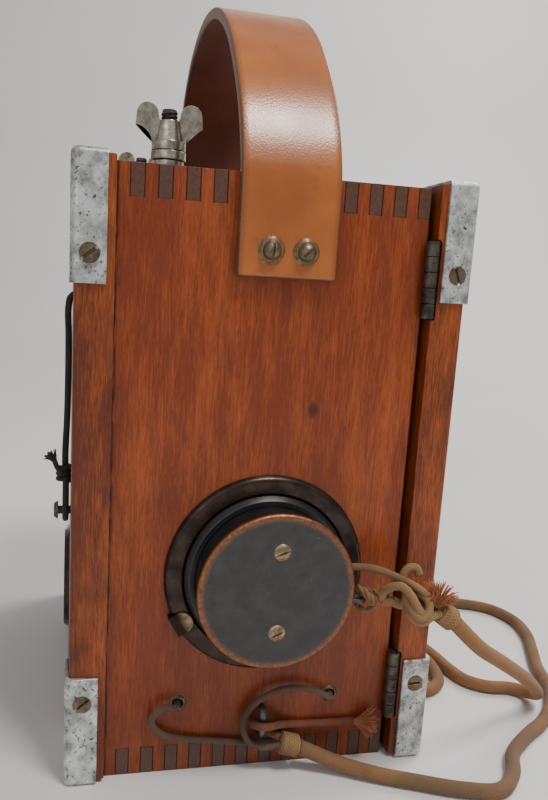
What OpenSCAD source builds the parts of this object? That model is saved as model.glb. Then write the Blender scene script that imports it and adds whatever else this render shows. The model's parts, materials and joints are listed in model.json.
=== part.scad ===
// Line test telephone: a finger-jointed wooden case with a hinged door, a carrying strap,
// two binding posts, a hand receiver in a cup, and the battery, coil and transmitter inside.
// Millimetres. The origin is the middle of the case's underside, +Z is up, the receiver side
// faces -Y, the front cover is at -X and the door at +X.

/* [Case] */
// Width of the case between its two covers
case_w = 114.3; // [108:0.1:122]
// Depth of the case from the receiver side to the far side
case_d = 177.8; // [172:0.1:190]
// Height of the case boards
case_h = 228.6; // [220:0.1:245]
// Thickness of the four case boards
board_t = 11.1; // [10:0.1:12.5]
// Tongues along each corner joint
tongues = 12; // [9:1:15]
// Play between a tongue and its slot
tongue_play = 0.1; // [0.05:0.05:0.3]
// Thickness of the front cover and of the door
cover_t = 13.5; // [12:0.1:15]
// How far the covers stand past the side panels
cover_lap = 4; // [3:0.1:4.5]
// How far the covers stand above the top board
cover_rise = 1.5; // [0.5:0.1:4]
// Rounding of the covers' outer upright edges
cover_round = 2; // [1:0.1:3]
// Gap between the closed door and the case
door_gap = 2.2; // [2:0.1:2.3]

/* [Corner caps] */
// Sheet thickness of the corner caps
cap_t = 1.5; // [1:0.1:2]
// Width of a cap on the edge of a cover
cap_w = 12.2; // [11:0.1:13]
// Reach of a cap along the edges of a cover
cap_l = 42.5; // [38:0.5:48]
// Width of a cap's two arms on the face of a cover
cap_arm = 16; // [13:0.5:20]
// Distance of a cap's screws from the corner of the cover
cap_screw_in = 32.4; // [29:0.1:34.5]
// Distance of a cap's edge screw from the outer face of the cover
cap_screw_deep = 5; // [4.4:0.1:5.8]

/* [Screws] */
// Head diameter of the flat-head screws
flat_head_d = 7; // [6.2:0.1:7.4]
// Depth of a flat head's cone
flat_head_h = 1.8; // [1.4:0.1:2.4]
// Shank diameter of the wood screws
shank_d = 3.4; // [2.8:0.1:3.8]
// Length of the cap screws
cap_screw_l = 11; // [8:0.5:12]
// Length of the front cover's screws
cover_screw_l = 30; // [24:1:40]
// Distance of the front cover's screws from its top and bottom
cover_screw_in = 75; // [62:1:90]
// Width of a screw's slot
slot_w = 1; // [0.6:0.1:1.2]
// Depth of a screw's slot
slot_deep = 1; // [0.5:0.1:1]
// Play round a screw or rivet in its hole
screw_play = 0.08; // [0.05:0.01:0.15]

/* [Hinges] */
// Length of a hinge
hinge_l = 28.5; // [26:0.5:32]
// Distance of a hinge's middle from the top or bottom of the case
hinge_in = 33; // [30:0.5:36]
// Knuckles on a hinge
knuckles = 5; // [3:2:7]
// Outside diameter of a hinge's knuckles
knuckle_d = 5.2; // [4.6:0.1:5.6]
// Pin diameter
pin_d = 2.4; // [2:0.1:2.8]
// Radial play of the pin in the door's knuckles
pin_play = 0.06; // [0.03:0.01:0.1]
// Gap between neighbouring knuckles
knuckle_gap = 0.25; // [0.15:0.05:0.4]
// Thickness of a hinge leaf
leaf_t = 1.1; // [1.05:0.05:1.25]
// Width of a hinge leaf on the wood
leaf_w = 9.5; // [8.5:0.1:10]
// Gap between the two closed leaves
leaf_gap = 0.3; // [0.25:0.05:0.4]
// Shank diameter of the hinge screws
hinge_shank_d = 2.2; // [1.8:0.1:2.6]
// Head diameter of the hinge screws
hinge_head_d = 4.2; // [3.6:0.1:4.6]
// Length of the hinge screws
hinge_screw_l = 9; // [7:0.5:10]

/* [Strap] */
// Width of the carrying strap
strap_w = 36; // [32:0.5:38]
// Thickness of the strap leather
strap_t = 4.6; // [4:0.1:5]
// Middle of the strap across the case
strap_x = 2.9; // [0:0.1:4]
// How far the strap's ends reach below the top of the case
strap_drop = 35.4; // [32:0.1:38]
// Height of the strap's crown above the top of the case
strap_rise = 80.5; // [70:0.5:90]
// How far the strap's crown leans towards the far side
strap_lean = 20; // [0:1:26]
// Spacing of the two screws at each end of the strap
strap_screw_gap = 12.7; // [11.5:0.1:15]
// Height of the strap screws above the strap's ends
strap_screw_up = 9.2; // [8:0.1:12]
// Head diameter of the strap screws
round_head_d = 7; // [6.4:0.1:7.6]
// Height of a strap screw's round head
round_head_h = 2.4; // [2:0.1:2.8]
// Diameter of the cup washers
cup_washer_d = 10; // [9:0.1:11]
// Height of the cup washers
cup_washer_h = 1.5; // [1:0.1:2]
// Length of a strap screw in the wood
strap_screw_l = 9; // [7:0.5:9.5]

/* [Binding posts] */
// Distance of the posts from the middle of the top, towards the front cover
post_x = 36.9; // [34:0.1:40]
// Distance of each post from the middle of the top, along the case
post_y = 60.8; // [56:0.1:64]
// Diameter of the threaded studs
stud_d = 6.35; // [5.6:0.05:6.8]
// Height of the studs above the top board
stud_up = 23.1; // [22.6:0.1:26]
// Diameter of the base collars
collar_d = 14; // [13:0.1:16]
// Height of the base collars
collar_h = 4.9; // [4.4:0.1:5.2]
// Diameter of the loose clamp washers
clamp_washer_d = 13; // [12:0.1:14]
// Thickness of the clamp washers
clamp_washer_t = 3.2; // [2.6:0.1:3.4]
// Gap under and over a clamp washer
clamp_gap = 0.2; // [0.1:0.05:0.4]
// Diameter of a wing nut's hub at its foot
hub_d = 12.6; // [11.8:0.1:13]
// Height of a wing nut's hub
hub_h = 10.6; // [10:0.1:11]
// Span over the wings
wing_span = 24.7; // [23:0.1:26]
// Thickness of a wing
wing_t = 2.6; // [2:0.1:3]
// Turn of the near wing nut's wings from straight across the case
wing_turn = -4; // [-30:1:30]
// Radial play of a nut or washer on its stud
stud_play = 0.1; // [0.05:0.01:0.2]
// Diameter of the nuts under the top board, across their flats
under_nut_d = 11.1; // [10:0.1:12]
// Height of the nuts under the top board
under_nut_h = 5.5; // [4:0.1:6]

/* [Receiver cup] */
// Middle of the receiver across the case
receiver_x = 2.7; // [0:0.1:6]
// Height of the receiver's middle above the floor
receiver_z = 81.4; // [79:0.1:86]
// Outside diameter of the cup's rounded ring
ring_d = 78.2; // [76:0.1:80]
// Height of the ring above the panel
ring_h = 2.6; // [2:0.1:3]
// Bore of the cup
cup_d = 64.7; // [64.2:0.1:66]
// Wall of the cup
cup_wall = 1.4; // [1:0.1:1.8]
// Depth of the cup below the face of the panel
cup_deep = 14; // [13.6:0.1:16]
// Thickness of the lock ring behind the panel
lock_t = 2.5; // [2:0.1:3]
// Width of the lock ring
lock_w = 7; // [5:0.5:9]
// Play of the cup in the panel and of the lock ring on the cup
cup_play = 0.15; // [0.1:0.05:0.3]
// Thickness of the retaining clip
clip_t = 1; // [0.8:0.1:1.4]
// Gap between the clip's tip and the ear cap
clip_gap = 0.5; // [0.3:0.1:1]
// Gap between the clip's foot and the edge of the ring
clip_play = 0.1; // [0.05:0.05:0.2]
// Width of the clip
clip_w = 8.8; // [7:0.1:10]
// Length of the clip's round end, as a share of its reach over the ring
clip_round = 0.6; // [0.4:0.01:0.63]
// Direction of the clip from the middle of the receiver
clip_turn = 209; // [200:1:220]
// Depth of the clip's foot in the panel
clip_foot = 6; // [4:0.5:8]

/* [Receiver] */
// Height of the receiver's back above the face of the panel
receiver_out = 20.1; // [19:0.1:22]
// Gap between the resting receiver and the bottom of its cup
seat_gap = 0.2; // [0.1:0.05:0.3]
// Diameter of the ear cap
ear_d = 63.5; // [62.5:0.1:64]
// Thickness of the ear cap's face
ear_face_t = 6; // [5:0.1:7]
// How far the ear cap stands out of the cup
ear_out = 5; // [3.5:0.1:7]
// Diameter of the ear cap's sound hole
ear_hole_d = 12; // [9:0.5:15]
// Diameter of the receiver's case
barrel_d = 56; // [54:0.1:57.5]
// Wall of the receiver's case
barrel_wall = 2.2; // [1.8:0.1:2.6]
// Radial play of the ear cap on the case
ear_play = 0.1; // [0.05:0.05:0.2]
// Diameter of the back disc
disc_d = 59.2; // [58:0.1:61]
// Thickness of the back disc
disc_t = 2.6; // [2.2:0.1:3]
// Rounding of the back disc's rim
disc_round = 1.3; // [0.8:0.1:1.8]
// Distance of the two back screws from the disc's middle
back_screw_r = 15.5; // [14.8:0.1:18]
// Diameter of the back screws' heads
back_head_d = 6.4; // [5.8:0.1:7]
// Height of the back screws' heads
back_head_h = 1.2; // [0.9:0.1:1.6]
// Thickness of the diaphragm
diaphragm_t = 0.3; // [0.25:0.05:0.5]
// Thickness of the ring magnet
magnet_t = 6; // [5:0.1:7]
// Bore of the ring magnet
magnet_bore = 24; // [22:0.5:25]
// Thickness of the iron yoke
yoke_t = 3; // [2:0.1:4]
// Spacing of the two pole pieces
pole_gap = 15; // [14:0.1:16]
// Diameter of a pole piece
pole_d = 5; // [4:0.1:5.6]
// Diameter of a receiver coil
coil_d = 13; // [12:0.1:13.8]
// Air gap between the pole pieces and the diaphragm
air_gap = 0.6; // [0.4:0.1:1]
// Wire of the tail loop
tail_wire = 1.8; // [1.4:0.1:2.2]
// Width of the tail loop between its legs' middles
tail_w = 6; // [5:0.1:7]
// Reach of the tail loop from the case
tail_out = 9; // [8:0.1:10]
// Angle of the tail loop below level, seen from the back disc
tail_angle = 11; // [8:1:15]
// Angle of the cord hole above level
lead_angle = 12; // [9:1:16]
// Distance of the tail loop and the cord hole from the panel
tail_y = 12; // [11:0.1:13]

/* [Near panel fittings] */
// Distance of the left eyelet from the middle
eyelet_left = 29.2; // [26:0.1:32]
// Distance of the right eyelet from the middle
eyelet_right = 32.9; // [30:0.1:36]
// Height of the eyelets
eyelet_z = 29; // [27:0.1:32]
// Bore of the eyelets
eyelet_bore = 4.4; // [4.2:0.1:5]
// Flange diameter of the eyelets
eyelet_d = 6.9; // [6.6:0.1:8]
// Sheet thickness of the eyelets
eyelet_t = 0.6; // [0.4:0.1:0.8]
// Middle of the staple across the case
staple_x = 4; // [3:0.1:5]
// Height of the staple's middle
staple_z = 21; // [20:0.1:22]
// Spacing of the staple's legs
staple_w = 11; // [10:0.1:12]
// Wire of the staple
staple_wire = 2.8; // [2.4:0.1:3]
// How far the staple stands out of the panel
staple_out = 7.5; // [7:0.1:8]
// Depth of the staple's legs in the panel
staple_deep = 8; // [6:0.1:9]

/* [Front cover fittings] */
// Height of the transmitter's middle
transmitter_z = 48; // [44:0.5:56]
// Diameter of the faceplate
faceplate_d = 47; // [44:0.5:50]
// Thickness of the faceplate
faceplate_t = 2.4; // [2:0.1:3]
// Diameter of a sound hole
sound_hole_d = 2.6; // [2:0.1:3]
// Spacing of the sound holes' rings
sound_hole_gap = 5.5; // [5:0.1:6]
// Diameter of the sound opening in the front cover
throat_d = 39; // [36:0.5:41]
// Bore of the transmitter's housing
housing_d = 46; // [44:0.5:50]
// Wall of the housing
housing_wall = 1.6; // [1.2:0.1:2]
// Depth of the housing behind the front cover
housing_deep = 24; // [20:0.5:28]
// Width of the housing's flange
housing_flange = 7; // [5:0.5:9]
// Diameter of the carbon button
button_d = 22; // [18:0.5:26]
// Distance of the stud for the cord loop from the near edge of the case
loop_stud_in = 9; // [8:0.1:11]
// Height of that stud
loop_stud_z = 105; // [100:0.5:110]
// Stem diameter of that stud
loop_stud_d = 3; // [2.6:0.1:3.4]
// Head diameter of that stud
loop_stud_head = 7; // [6:0.1:8]
// How far that stud stands out
loop_stud_out = 6; // [5.5:0.1:7]
// Height of the hole that the black cord comes out of
loop_hole_z = 184; // [180:0.5:186]

/* [Inside] */
// Diameter of a dry cell
cell_d = 63.5; // [60:0.1:66]
// Height of a dry cell
cell_h = 150; // [140:1:155]
// Gap between the dry cells
cell_gap = 1.5; // [1.2:0.1:3]
// Distance of the cells from the door
cell_door_gap = 3; // [2:0.5:5]
// Shift of the cells away from the receiver
cell_shift = 4; // [2:0.5:6]
// Diameter of a cell's middle terminal
terminal_d = 9; // [7:0.5:11]
// Height of a cell's terminals
terminal_h = 11; // [9:0.5:13]
// Height of the cleat beside the cells
cleat_h = 18; // [14:1:24]
// Thickness of the cleat
cleat_t = 8; // [6:0.5:9]
// Length of the induction coil
spool_l = 76; // [68:1:84]
// Side of the coil's square end blocks
spool_side = 24; // [22:0.5:26]
// Thickness of the coil's end blocks
spool_end = 6; // [5:0.5:8]
// Diameter of the coil's winding
winding_d = 19; // [16:0.5:20]
// Diameter of the coil's iron core
core_d = 9; // [7:0.5:11]
// Distance of the induction coil's middle from the door side of the case
spool_in = 27.1; // [25:0.1:29]
// Width of the condenser
condenser_w = 30; // [26:1:34]
// Length of the condenser
condenser_l = 78; // [70:1:84]
// Height of the condenser
condenser_h = 26; // [22:1:28]
// Diameter of the inner wires
wire_d = 2; // [1.6:0.1:2.4]

/* [Cords] */
// Diameter of the receiver's main cord
main_d = 6; // [5:0.1:6.4]
// Diameter of the thin leads
lead_d = 2.8; // [2.5:0.1:3.2]
// Diameter of the stay cords
stay_d = 3; // [2.6:0.1:3.2]
// Diameter of the whipped collars
whip_d = 9; // [8:0.1:10]
// Length of the whipped collars
whip_l = 8; // [7:0.1:9]
// Diameter of the knot beside the receiver
knot_d = 15; // [13:0.5:15.6]
// Diameter of the black cord
black_d = 2.4; // [2:0.1:3.2]

/* [Hidden] */
$fn = 64;
small_fn = 32;
eps = 0.01;
over = 1;

// Colours
wood_red = [0.54, 0.25, 0.12];
wood_dark = [0.33, 0.22, 0.19];
wood_edge = [0.45, 0.23, 0.12];
tin_grey = [0.70, 0.72, 0.71];
steel_dark = [0.30, 0.28, 0.26];
screw_steel = [0.42, 0.38, 0.33];
leather_tan = [0.65, 0.38, 0.18];
nickel = [0.66, 0.64, 0.58];
bronze_dark = [0.20, 0.15, 0.12];
rubber_black = [0.07, 0.08, 0.08];
slate = [0.26, 0.26, 0.28];
brass = [0.63, 0.50, 0.32];
iron = [0.35, 0.35, 0.37];
copper = [0.60, 0.33, 0.20];
cord_tan = [0.55, 0.42, 0.27];
cord_orange = [0.60, 0.40, 0.22];
cord_black = [0.16, 0.15, 0.13];
card_red = [0.55, 0.20, 0.15];

// The case's faces
x_face = case_w / 2;
y_face = case_d / 2;
y_in = y_face - board_t;
z_under = case_h - board_t;
finger_w = case_w / (2 * tongues);
cover_y = y_face + cover_lap;
cover_z0 = cap_t;
cover_z1 = case_h + cover_rise;
front_x = -x_face - cover_t;
door_x0 = x_face + door_gap;
door_x1 = door_x0 + cover_t;

// The door's hinge line
hinge_x = x_face + door_gap / 2;
hinge_y = -y_face - knuckle_d / 2 - 0.1;
hinge_zs = [hinge_in, case_h - hinge_in];
knuckle_l = hinge_l / knuckles;
notch_r = knuckle_d / 2 + 0.5;
leaf_y1 = -y_face + leaf_w;
leaf_screw_y = -y_face + leaf_w * 0.55;
leaf_screw_dz = hinge_l * 0.3;

// Heights along the receiver's axis, counted outwards from the panel
ear_r = ear_d / 2;
barrel_r = barrel_d / 2;
cup_r = cup_d / 2;
clip_l = ring_d / 2 + clip_play - ear_r - clip_gap;
clip_end = clip_round * clip_l;
clip_r = (clip_w * clip_w / 4 + clip_end * clip_end) / (2 * clip_end);
ear_z0 = -cup_deep + seat_gap;
ledge_z = ear_z0 + ear_face_t;
barrel_z0 = ledge_z + diaphragm_t;
barrel_z1 = receiver_out - disc_t;
barrel_bore = barrel_r - barrel_wall;
magnet_z0 = barrel_z1 - magnet_t;
yoke_z0 = magnet_z0 - yoke_t;
pole_z0 = barrel_z0 + air_gap;
back_shank_d = 3;
tail_root = 0.2;
back_shank_l = disc_t + magnet_t * 0.7;

// Heights of the binding posts' pieces above the top board
washer_z = collar_h + clamp_gap;
nut_z = washer_z + clamp_washer_t + clamp_gap;

// Places of the pieces inside
cell_r = cell_d / 2;
cell_x = door_x0 - cell_door_gap - cell_r;
cell_ys = [cell_shift - cell_r - cell_gap / 2, cell_shift + cell_r + cell_gap / 2];
cell_top = board_t + cell_h;
zinc_in = cell_r - 7;
cleat_x1 = cell_x - cell_r - 0.5;
spool_x = x_face - spool_in;
spool_z = z_under - spool_side / 2;
condenser_x = -x_face + 6;
condenser_z = z_under - condenser_h;

// Routes of the cords, chosen by hand
main_route = [
    [70.2, -114.2, 70.4], [86, -109.5, 56], [100, -101.5, 46], [113, -93, 36.5], [126, -83, 26.5],
    [138, -74, 16],
    [145.5, -66, 8], [146.5, -57.5, 4], [141, -51, 3], [131, -48.5, 3], [123, -42, 3], [119.5, -30, 3],
    [118, -14, 3], [114, 3, 3], [103, 14, 3], [90, 11, 3], [82, -4, 3], [81, -21, 3], [85, -38, 3],
    [96, -48, 3], [107, -42, 3], [110.5, -28, 4], [107.5, -11, 6.5], [106, 6, 9.4], [108, 20, 9],
    [115, 35, 6],
    [130, 47, 3.2], [149, 52, 3], [167, 49.5, 3], [182, 40, 3], [188, 23, 3], [185, 4, 3], [177, -14, 3],
    [168, -33, 3], [162.5, -50, 3], [155, -65, 3], [141, -80, 3], [125, -91, 3], [112, -102, 3],
    [104, -115, 3],
    [93.5, -123.5, 3], [79, -121, 3], [63, -114, 3], [48, -107, 3.2], [34, -100, 5], [19.5, -95, 9.9]
];
receiver_lead_route = [
    [28.5, -100.9, 86.9], [33, -101, 87.6], [38, -102, 87.9], [43, -104.5, 87.3], [47.5, -108.6, 85.5],
    [51, -112.6, 82.2]
];
receiver_stay_route = [
    [36.2, -100.9, 79.5], [38.2, -104.2, 79], [41.5, -106.2, 75], [41, -103, 71.2], [38, -100.8, 70.8],
    [37.4, -97.6, 73.6], [41.5, -97.2, 76.4], [45.5, -102, 76.4], [50.2, -110.6, 76.9]
];
knot_at = [57, -116, 77];
whip_up_at = [67, -114.2, 72.7];
whip_up_turn = 126;
whip_low_at = [15.2, -94.6, 11.3];
whip_low_turn = 107;
left_lead_route = [
    [11.4, -92.8, 12.2], [5, -91.2, 11], [-5, -90.8, 11.6], [-18, -90.8, 13.3], [-28, -91, 15],
    [-35.5, -91.6, 18],
    [-39.5, -92.2, 23.5], [-37.9, -93.2, 28], [-33.6, -93.6, 29.9], [-30.2, -92.4, 29.4], [-29.3,
    -90.2, 29.05],
    [-eyelet_left, -86.4, eyelet_z], [-eyelet_left, 4 - y_in, eyelet_z]
];
right_lead_route = [
    [11.4, -96.2, 12.2], [5, -95.6, 11.2], [-0.5, -94.6, 13.2], [-3.5, -93.6, 18.5], [-2.5, -93, 24.2],
    [1.5, -93, 29.4], [8, -93, 33.2], [16, -92.8, 34.5], [24, -93, 33.2],
    [29.4, -93, 30.7], [32.2, -92, 29.5], [32.8, -90.2, 29.1], [eyelet_right, -86.2, eyelet_z],
    [eyelet_right, 4 - y_in, eyelet_z]
];
lower_stay_route = [
    [11.3, -95, 14.8], [7.6, -93.2, 16], [4, -91.1, 17.8], [0.8, -92.2, 20], [0.2, -95.6, 21.4],
    [3, -98.6, 22],
    [7, -97.8, 21.4], [10.5, -94.8, 20], [14.5, -91.8, 18.2], [22, -90.8, 17.3], [33, -90.8, 17],
    [44, -90.8, 17]
];
cell_posts = [for (y = cell_ys) [cell_x, y, cell_top + terminal_h - 0.3]];
zinc_posts = [for (p = cell_posts) p + [zinc_in, 0, 0]];
spool_y = spool_l / 2 - 0.3;
wire_routes = [
    [[-eyelet_left, 3.6 - y_in, eyelet_z], [-eyelet_left - 3, 10 - y_in, eyelet_z + 5], [-45, -60, 60],
        [-45, -58, 150], [condenser_x + 13, -condenser_l / 2 - 9, condenser_z],
        [condenser_x + 15, 0.3 - condenser_l / 2, condenser_z + 10]],
    [[eyelet_right, 3.6 - y_in, eyelet_z], [eyelet_right + 5, 9 - y_in, eyelet_z + 6], [48, -67,
        60], [48, -65, 150],
        [40, -56, 190], [spool_x - 6, -spool_y - 9, spool_z - 6], [spool_x - 8, -spool_y, spool_z - 4]],
    [[-post_x, -post_y, z_under - under_nut_h - 1.7], [-post_x + 4, -post_y - 1, z_under - 13],
        [-8, -56, 201],
        [spool_x - 18, -spool_y - 6, spool_z + 2], [spool_x - 9, -spool_y, spool_z + 6]],
    [[-post_x, post_y, z_under - under_nut_h - 1.7], [-post_x, post_y - 4, z_under - 13],
        [condenser_x + 16, condenser_l / 2 + 8, condenser_z + 10],
        [condenser_x + 16, condenser_l / 2 - 0.3, condenser_z + 10]],
    [zinc_posts[0], zinc_posts[0] + [-1, 5, 6], [40, 4, 180], cell_posts[1] + [1, -6, 6], cell_posts[1]],
    [cell_posts[0], cell_posts[0] + [-6, 2, 6], [-12, -20, 172], [-22, -10, 130],
        [front_x + cover_t + housing_deep + 6, 0, transmitter_z + 22],
        [front_x + cover_t + housing_deep - 0.3, 0, transmitter_z + 8]],
    [zinc_posts[1], zinc_posts[1] + [-1, 2, 7], [42, 46, 190], [spool_x + 6, spool_y + 5, spool_z - 5],
        [spool_x + 5, spool_y, spool_z - 5]]
];
black_route_in = [
    [10, 0, 0.4], [3, 0, 0.3], [-0.7, 0, -1.2], [-1.6, 0, -5], [-1.45, 0.4, -14], [-1.4, 1.2, -28],
    [-1.6, 0.4, -44], [-2.1, -0.6, -58]
];

function unit(v) = v / norm(v);
function heading(p, i) = unit(p[min(i + 1, len(p) - 1)] - p[max(i - 1, 0)]);
// One ring of a cord's skin; side is a direction that the cord never runs along
function skin_ring(p, i, r, sides, side) =
    let (t = heading(p, i), a = unit(cross(t, side)), b = cross(t, a))
    [for (k = [0:sides - 1]) p[i] + r * (cos(360 * k / sides) * a + sin(360 * k / sides) * b)];

// A cord: a tube along a route, closed at both ends
module cord(p, d, side, sides = 8) {
    last = (len(p) - 1) * sides;
    points = [for (i = [0:len(p) - 1]) each skin_ring(p, i, d / 2, sides, side)];
    skin = [
        for (i = [0:len(p) - 2], k = [0:sides - 1])
            let (a = i * sides + k, b = i * sides + (k + 1) % sides)
            each [[a, a + sides, b], [b, a + sides, b + sides]]
    ];
    ends = [
        for (k = [1:sides - 2]) each [[0, k, k + 1], [last, last + k + 1, last + k]]
    ];
    polyhedron(points, concat(skin, ends));
}

// Axes for pieces that point along X or Y: local +Z becomes the named way
module to_plus_x() rotate([0, 90, 0]) children();
module to_minus_x() rotate([0, -90, 0]) children();
module to_plus_y() rotate([-90, 0, 0]) children();
module to_minus_y() rotate([90, 0, 0]) children();

// Slotted flat-head screw, driven along +Z with its head flush at zero
module flat_screw(head_d, head_h, d, length, turn = 0) {
    difference() {
        union() {
            cylinder(d1 = head_d, d2 = d, h = head_h, $fn = small_fn);
            cylinder(d = d, h = length, $fn = small_fn);
        }
        rotate([0, 0, turn])
            translate([-head_d, -slot_w / 2, -over])
                cube([2 * head_d, slot_w, over + min(slot_deep, head_h * 0.6)]);
    }
}

// Room for that screw
module flat_screw_room(head_d, head_h, d, length) {
    translate([0, 0, -over])
        cylinder(d = head_d + 2 * screw_play, h = over + eps, $fn = small_fn);
    cylinder(d1 = head_d + 2 * screw_play, d2 = d + 2 * screw_play, h = head_h, $fn = small_fn);
    cylinder(d = d + 2 * screw_play, h = length + screw_play, $fn = small_fn);
}

// Round head of a screw, standing on zero
module round_head(d, h, turn = 0) {
    ball = (d * d / 4 + h * h) / (2 * h);
    difference() {
        rotate_extrude($fn = small_fn)
            intersection() {
                translate([0, h - ball])
                    circle(ball, $fn = small_fn);
                square([d, h]);
            }
        rotate([0, 0, turn])
            translate([-d, -slot_w / 2, h - slot_deep])
                cube([2 * d, slot_w, h]);
    }
}

// The case

module finger_slots(z) {
    for (i = [0:tongues - 1])
        translate([-x_face + (2 * i + 1) * finger_w, -y_face - over, z])
            cube([finger_w, case_d + 2 * over, board_t + over]);
}

// A side panel's board, with its outer face at -Y
module side_board() {
    difference() {
        translate([-x_face, -y_face, 0])
            cube([case_w, board_t, case_h]);
        finger_slots(z_under);
        finger_slots(-over);
    }
}

// A top or bottom board with its tongues, lying on zero
module flat_board() {
    translate([-x_face, -y_in, 0])
        cube([case_w, 2 * y_in, board_t]);
    for (s = [-1, 1], i = [0:tongues - 1])
        translate([-x_face + (2 * i + 1) * finger_w + tongue_play / 2, s > 0 ? y_in - eps : -y_face, 0])
            cube([finger_w - tongue_play, board_t + eps, board_t]);
}

// Where the front cover's screws go: local +Z runs into the case
module at_cover_screws() {
    spots = concat(
        [for (s = [-1, 1], z = [cover_screw_in, case_h - cover_screw_in]) [s * (y_face - board_t / 2), z]],
        [[0, board_t / 2], [0, case_h - board_t / 2]]
    );
    for (p = spots)
        translate([front_x, p[0], p[1]])
            to_plus_x() children();
}

module cover_screw_room() {
    at_cover_screws() flat_screw_room(flat_head_d, flat_head_h, shank_d, cover_screw_l);
}

// Where the strap's screws go, with local +Z out of the wood; side -1 is the near panel
module at_strap_screws(side) {
    for (s = [-1, 1])
        let ($turn = s < 0 ? 86 : 45)
            translate([strap_x + s * strap_screw_gap / 2, side * y_face, case_h - strap_drop + strap_screw_up])
                rotate([side < 0 ? 90 : -90, 0, 0]) children();
}

module strap_screw_room(side) {
    at_strap_screws(side)
        translate([0, 0, -strap_screw_l - screw_play])
            cylinder(d = shank_d + 2 * screw_play,
                h = strap_screw_l + strap_t + cup_washer_h + over, $fn = small_fn);
}

module at_receiver() {
    translate([receiver_x, -y_face, receiver_z])
        to_minus_y() children();
}

// Where the hinge screws go: local +Z runs into the wood, away from the hinge line
module at_hinge_screws(to_door) {
    for (z = hinge_zs, s = [-1, 1])
        translate([hinge_x + (to_door ? 1 : -1) * leaf_gap / 2, leaf_screw_y, z + s * leaf_screw_dz])
            rotate([0, to_door ? 90 : -90, 0]) children();
}

module hinge_screw_room(to_door) {
    at_hinge_screws(to_door)
        flat_screw_room(hinge_head_d, leaf_t, hinge_shank_d, hinge_screw_l);
}

// Recess for the hinge leaves of one side
module leaf_recess(to_door) {
    for (z = hinge_zs)
        translate([hinge_x + (to_door ? 0 : -leaf_gap / 2 - leaf_t), -y_face - cover_lap - over,
            z - hinge_l / 2])
            translate([0, 0, -screw_play])
                cube([leaf_gap / 2 + leaf_t, cover_lap + over + leaf_w + screw_play,
                    hinge_l + 2 * screw_play]);
}

module at_eyelets() {
    for (x = [-eyelet_left, eyelet_right])
        translate([x, -y_face, eyelet_z])
            to_minus_y() children();
}

module at_staple() {
    translate([staple_x, -y_face, staple_z])
        children();
}

module clip_foot_shape(extra) {
    translate([-clip_t - extra, -clip_w / 2 - extra])
        square([clip_t + 2 * extra, clip_w + 2 * extra]);
}

// The retaining clip's place: its tongue points along local +X, over the ring
module at_clip() {
    at_receiver()
        rotate([0, 0, clip_turn])
            translate([ring_d / 2 + clip_play, 0, 0])
                rotate([0, 0, 180]) children();
}

module near_panel() {
    color(wood_red)
        difference() {
            side_board();
            at_receiver()
                translate([0, 0, -board_t - over])
                    cylinder(r = cup_r + cup_wall + cup_play, h = board_t + 2 * over);
            at_eyelets()
                translate([0, 0, -board_t - over])
                    cylinder(d = eyelet_bore + 2 * eyelet_t + 2 * screw_play,
                        h = board_t + 2 * over, $fn = small_fn);
            at_staple()
                for (s = [-1, 1])
                    translate([0, -over, s * staple_w / 2])
                        to_plus_y()
                            cylinder(d = staple_wire + 2 * screw_play,
                                h = over + staple_deep + screw_play, $fn = small_fn);
            at_clip()
                translate([0, 0, -clip_foot - screw_play])
                    linear_extrude(clip_foot + over) clip_foot_shape(screw_play);
            strap_screw_room(-1);
            cover_screw_room();
            leaf_recess(false);
            hinge_screw_room(false);
        }
}

module far_panel() {
    color(wood_red)
        difference() {
            mirror([0, 1, 0]) side_board();
            strap_screw_room(1);
            cover_screw_room();
        }
}

module at_posts() {
    for (s = [-1, 1])
        translate([-post_x, s * post_y, case_h]) children();
}

module top_board() {
    color(wood_dark)
        difference() {
            translate([0, 0, z_under]) flat_board();
            at_posts()
                translate([0, 0, -board_t - over])
                    cylinder(d = stud_d + 2 * stud_play, h = board_t + 2 * over);
            cover_screw_room();
        }
}

module bottom_board() {
    color(wood_dark)
        difference() {
            flat_board();
            cover_screw_room();
        }
}

// A cover's board with its outer face at zero and the case towards +X
module cover_board() {
    translate([0, 0, cover_z0])
        linear_extrude(cover_z1 - cover_z0)
            union() {
                translate([cover_round, -cover_y])
                    square([cover_t - cover_round, 2 * cover_y]);
                translate([0, cover_round - cover_y])
                    square([cover_round + eps, 2 * (cover_y - cover_round)]);
                for (s = [-1, 1])
                    translate([cover_round, s * (cover_y - cover_round)])
                        circle(cover_round, $fn = small_fn);
            }
}

// The four corners of a cover board: local +X, +Y and +Z run into the wood
module at_cover_corners() {
    for (sy = [0, 1], sz = [0, 1])
        let ($low = sz == 0)
            translate([0, sy == 0 ? -cover_y : cover_y, sz == 0 ? cover_z0 : cover_z1])
                mirror([0, sy, 0])
                    mirror([0, 0, sz]) children();
}

module at_front() translate([front_x, 0, 0]) children();
module at_door() translate([door_x1, 0, 0]) mirror([1, 0, 0]) children();

// Outline of a cap round the upright edge, widened by the sheet on the outside
module cap_outline(grow) {
    r = cover_round * 0.75 + grow;
    difference() {
        translate([-grow, -grow])
            square([cap_w - cap_t + grow, cap_l + grow]);
        difference() {
            translate([-grow - over, -grow - over])
                square([r + over, r + over]);
            translate([r - grow, r - grow])
                circle(r, $fn = small_fn);
        }
    }
}

// A corner cap on the corner at the origin
module corner_cap() {
    difference() {
        union() {
            translate([0, 0, -cap_t])
                linear_extrude(cap_l + cap_t)
                    difference() {
                        cap_outline(cap_t);
                        cap_inside();
                    }
            translate([0, 0, -cap_t])
                linear_extrude(cap_t) cap_outline(cap_t);
        }
        translate([0, cap_l, cap_l])
            translate([-cap_t - over, 0, 0])
                to_plus_x() cylinder(r = cap_l - cap_arm, h = cap_t + over + eps);
        cap_screw_rooms();
    }
}

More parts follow.
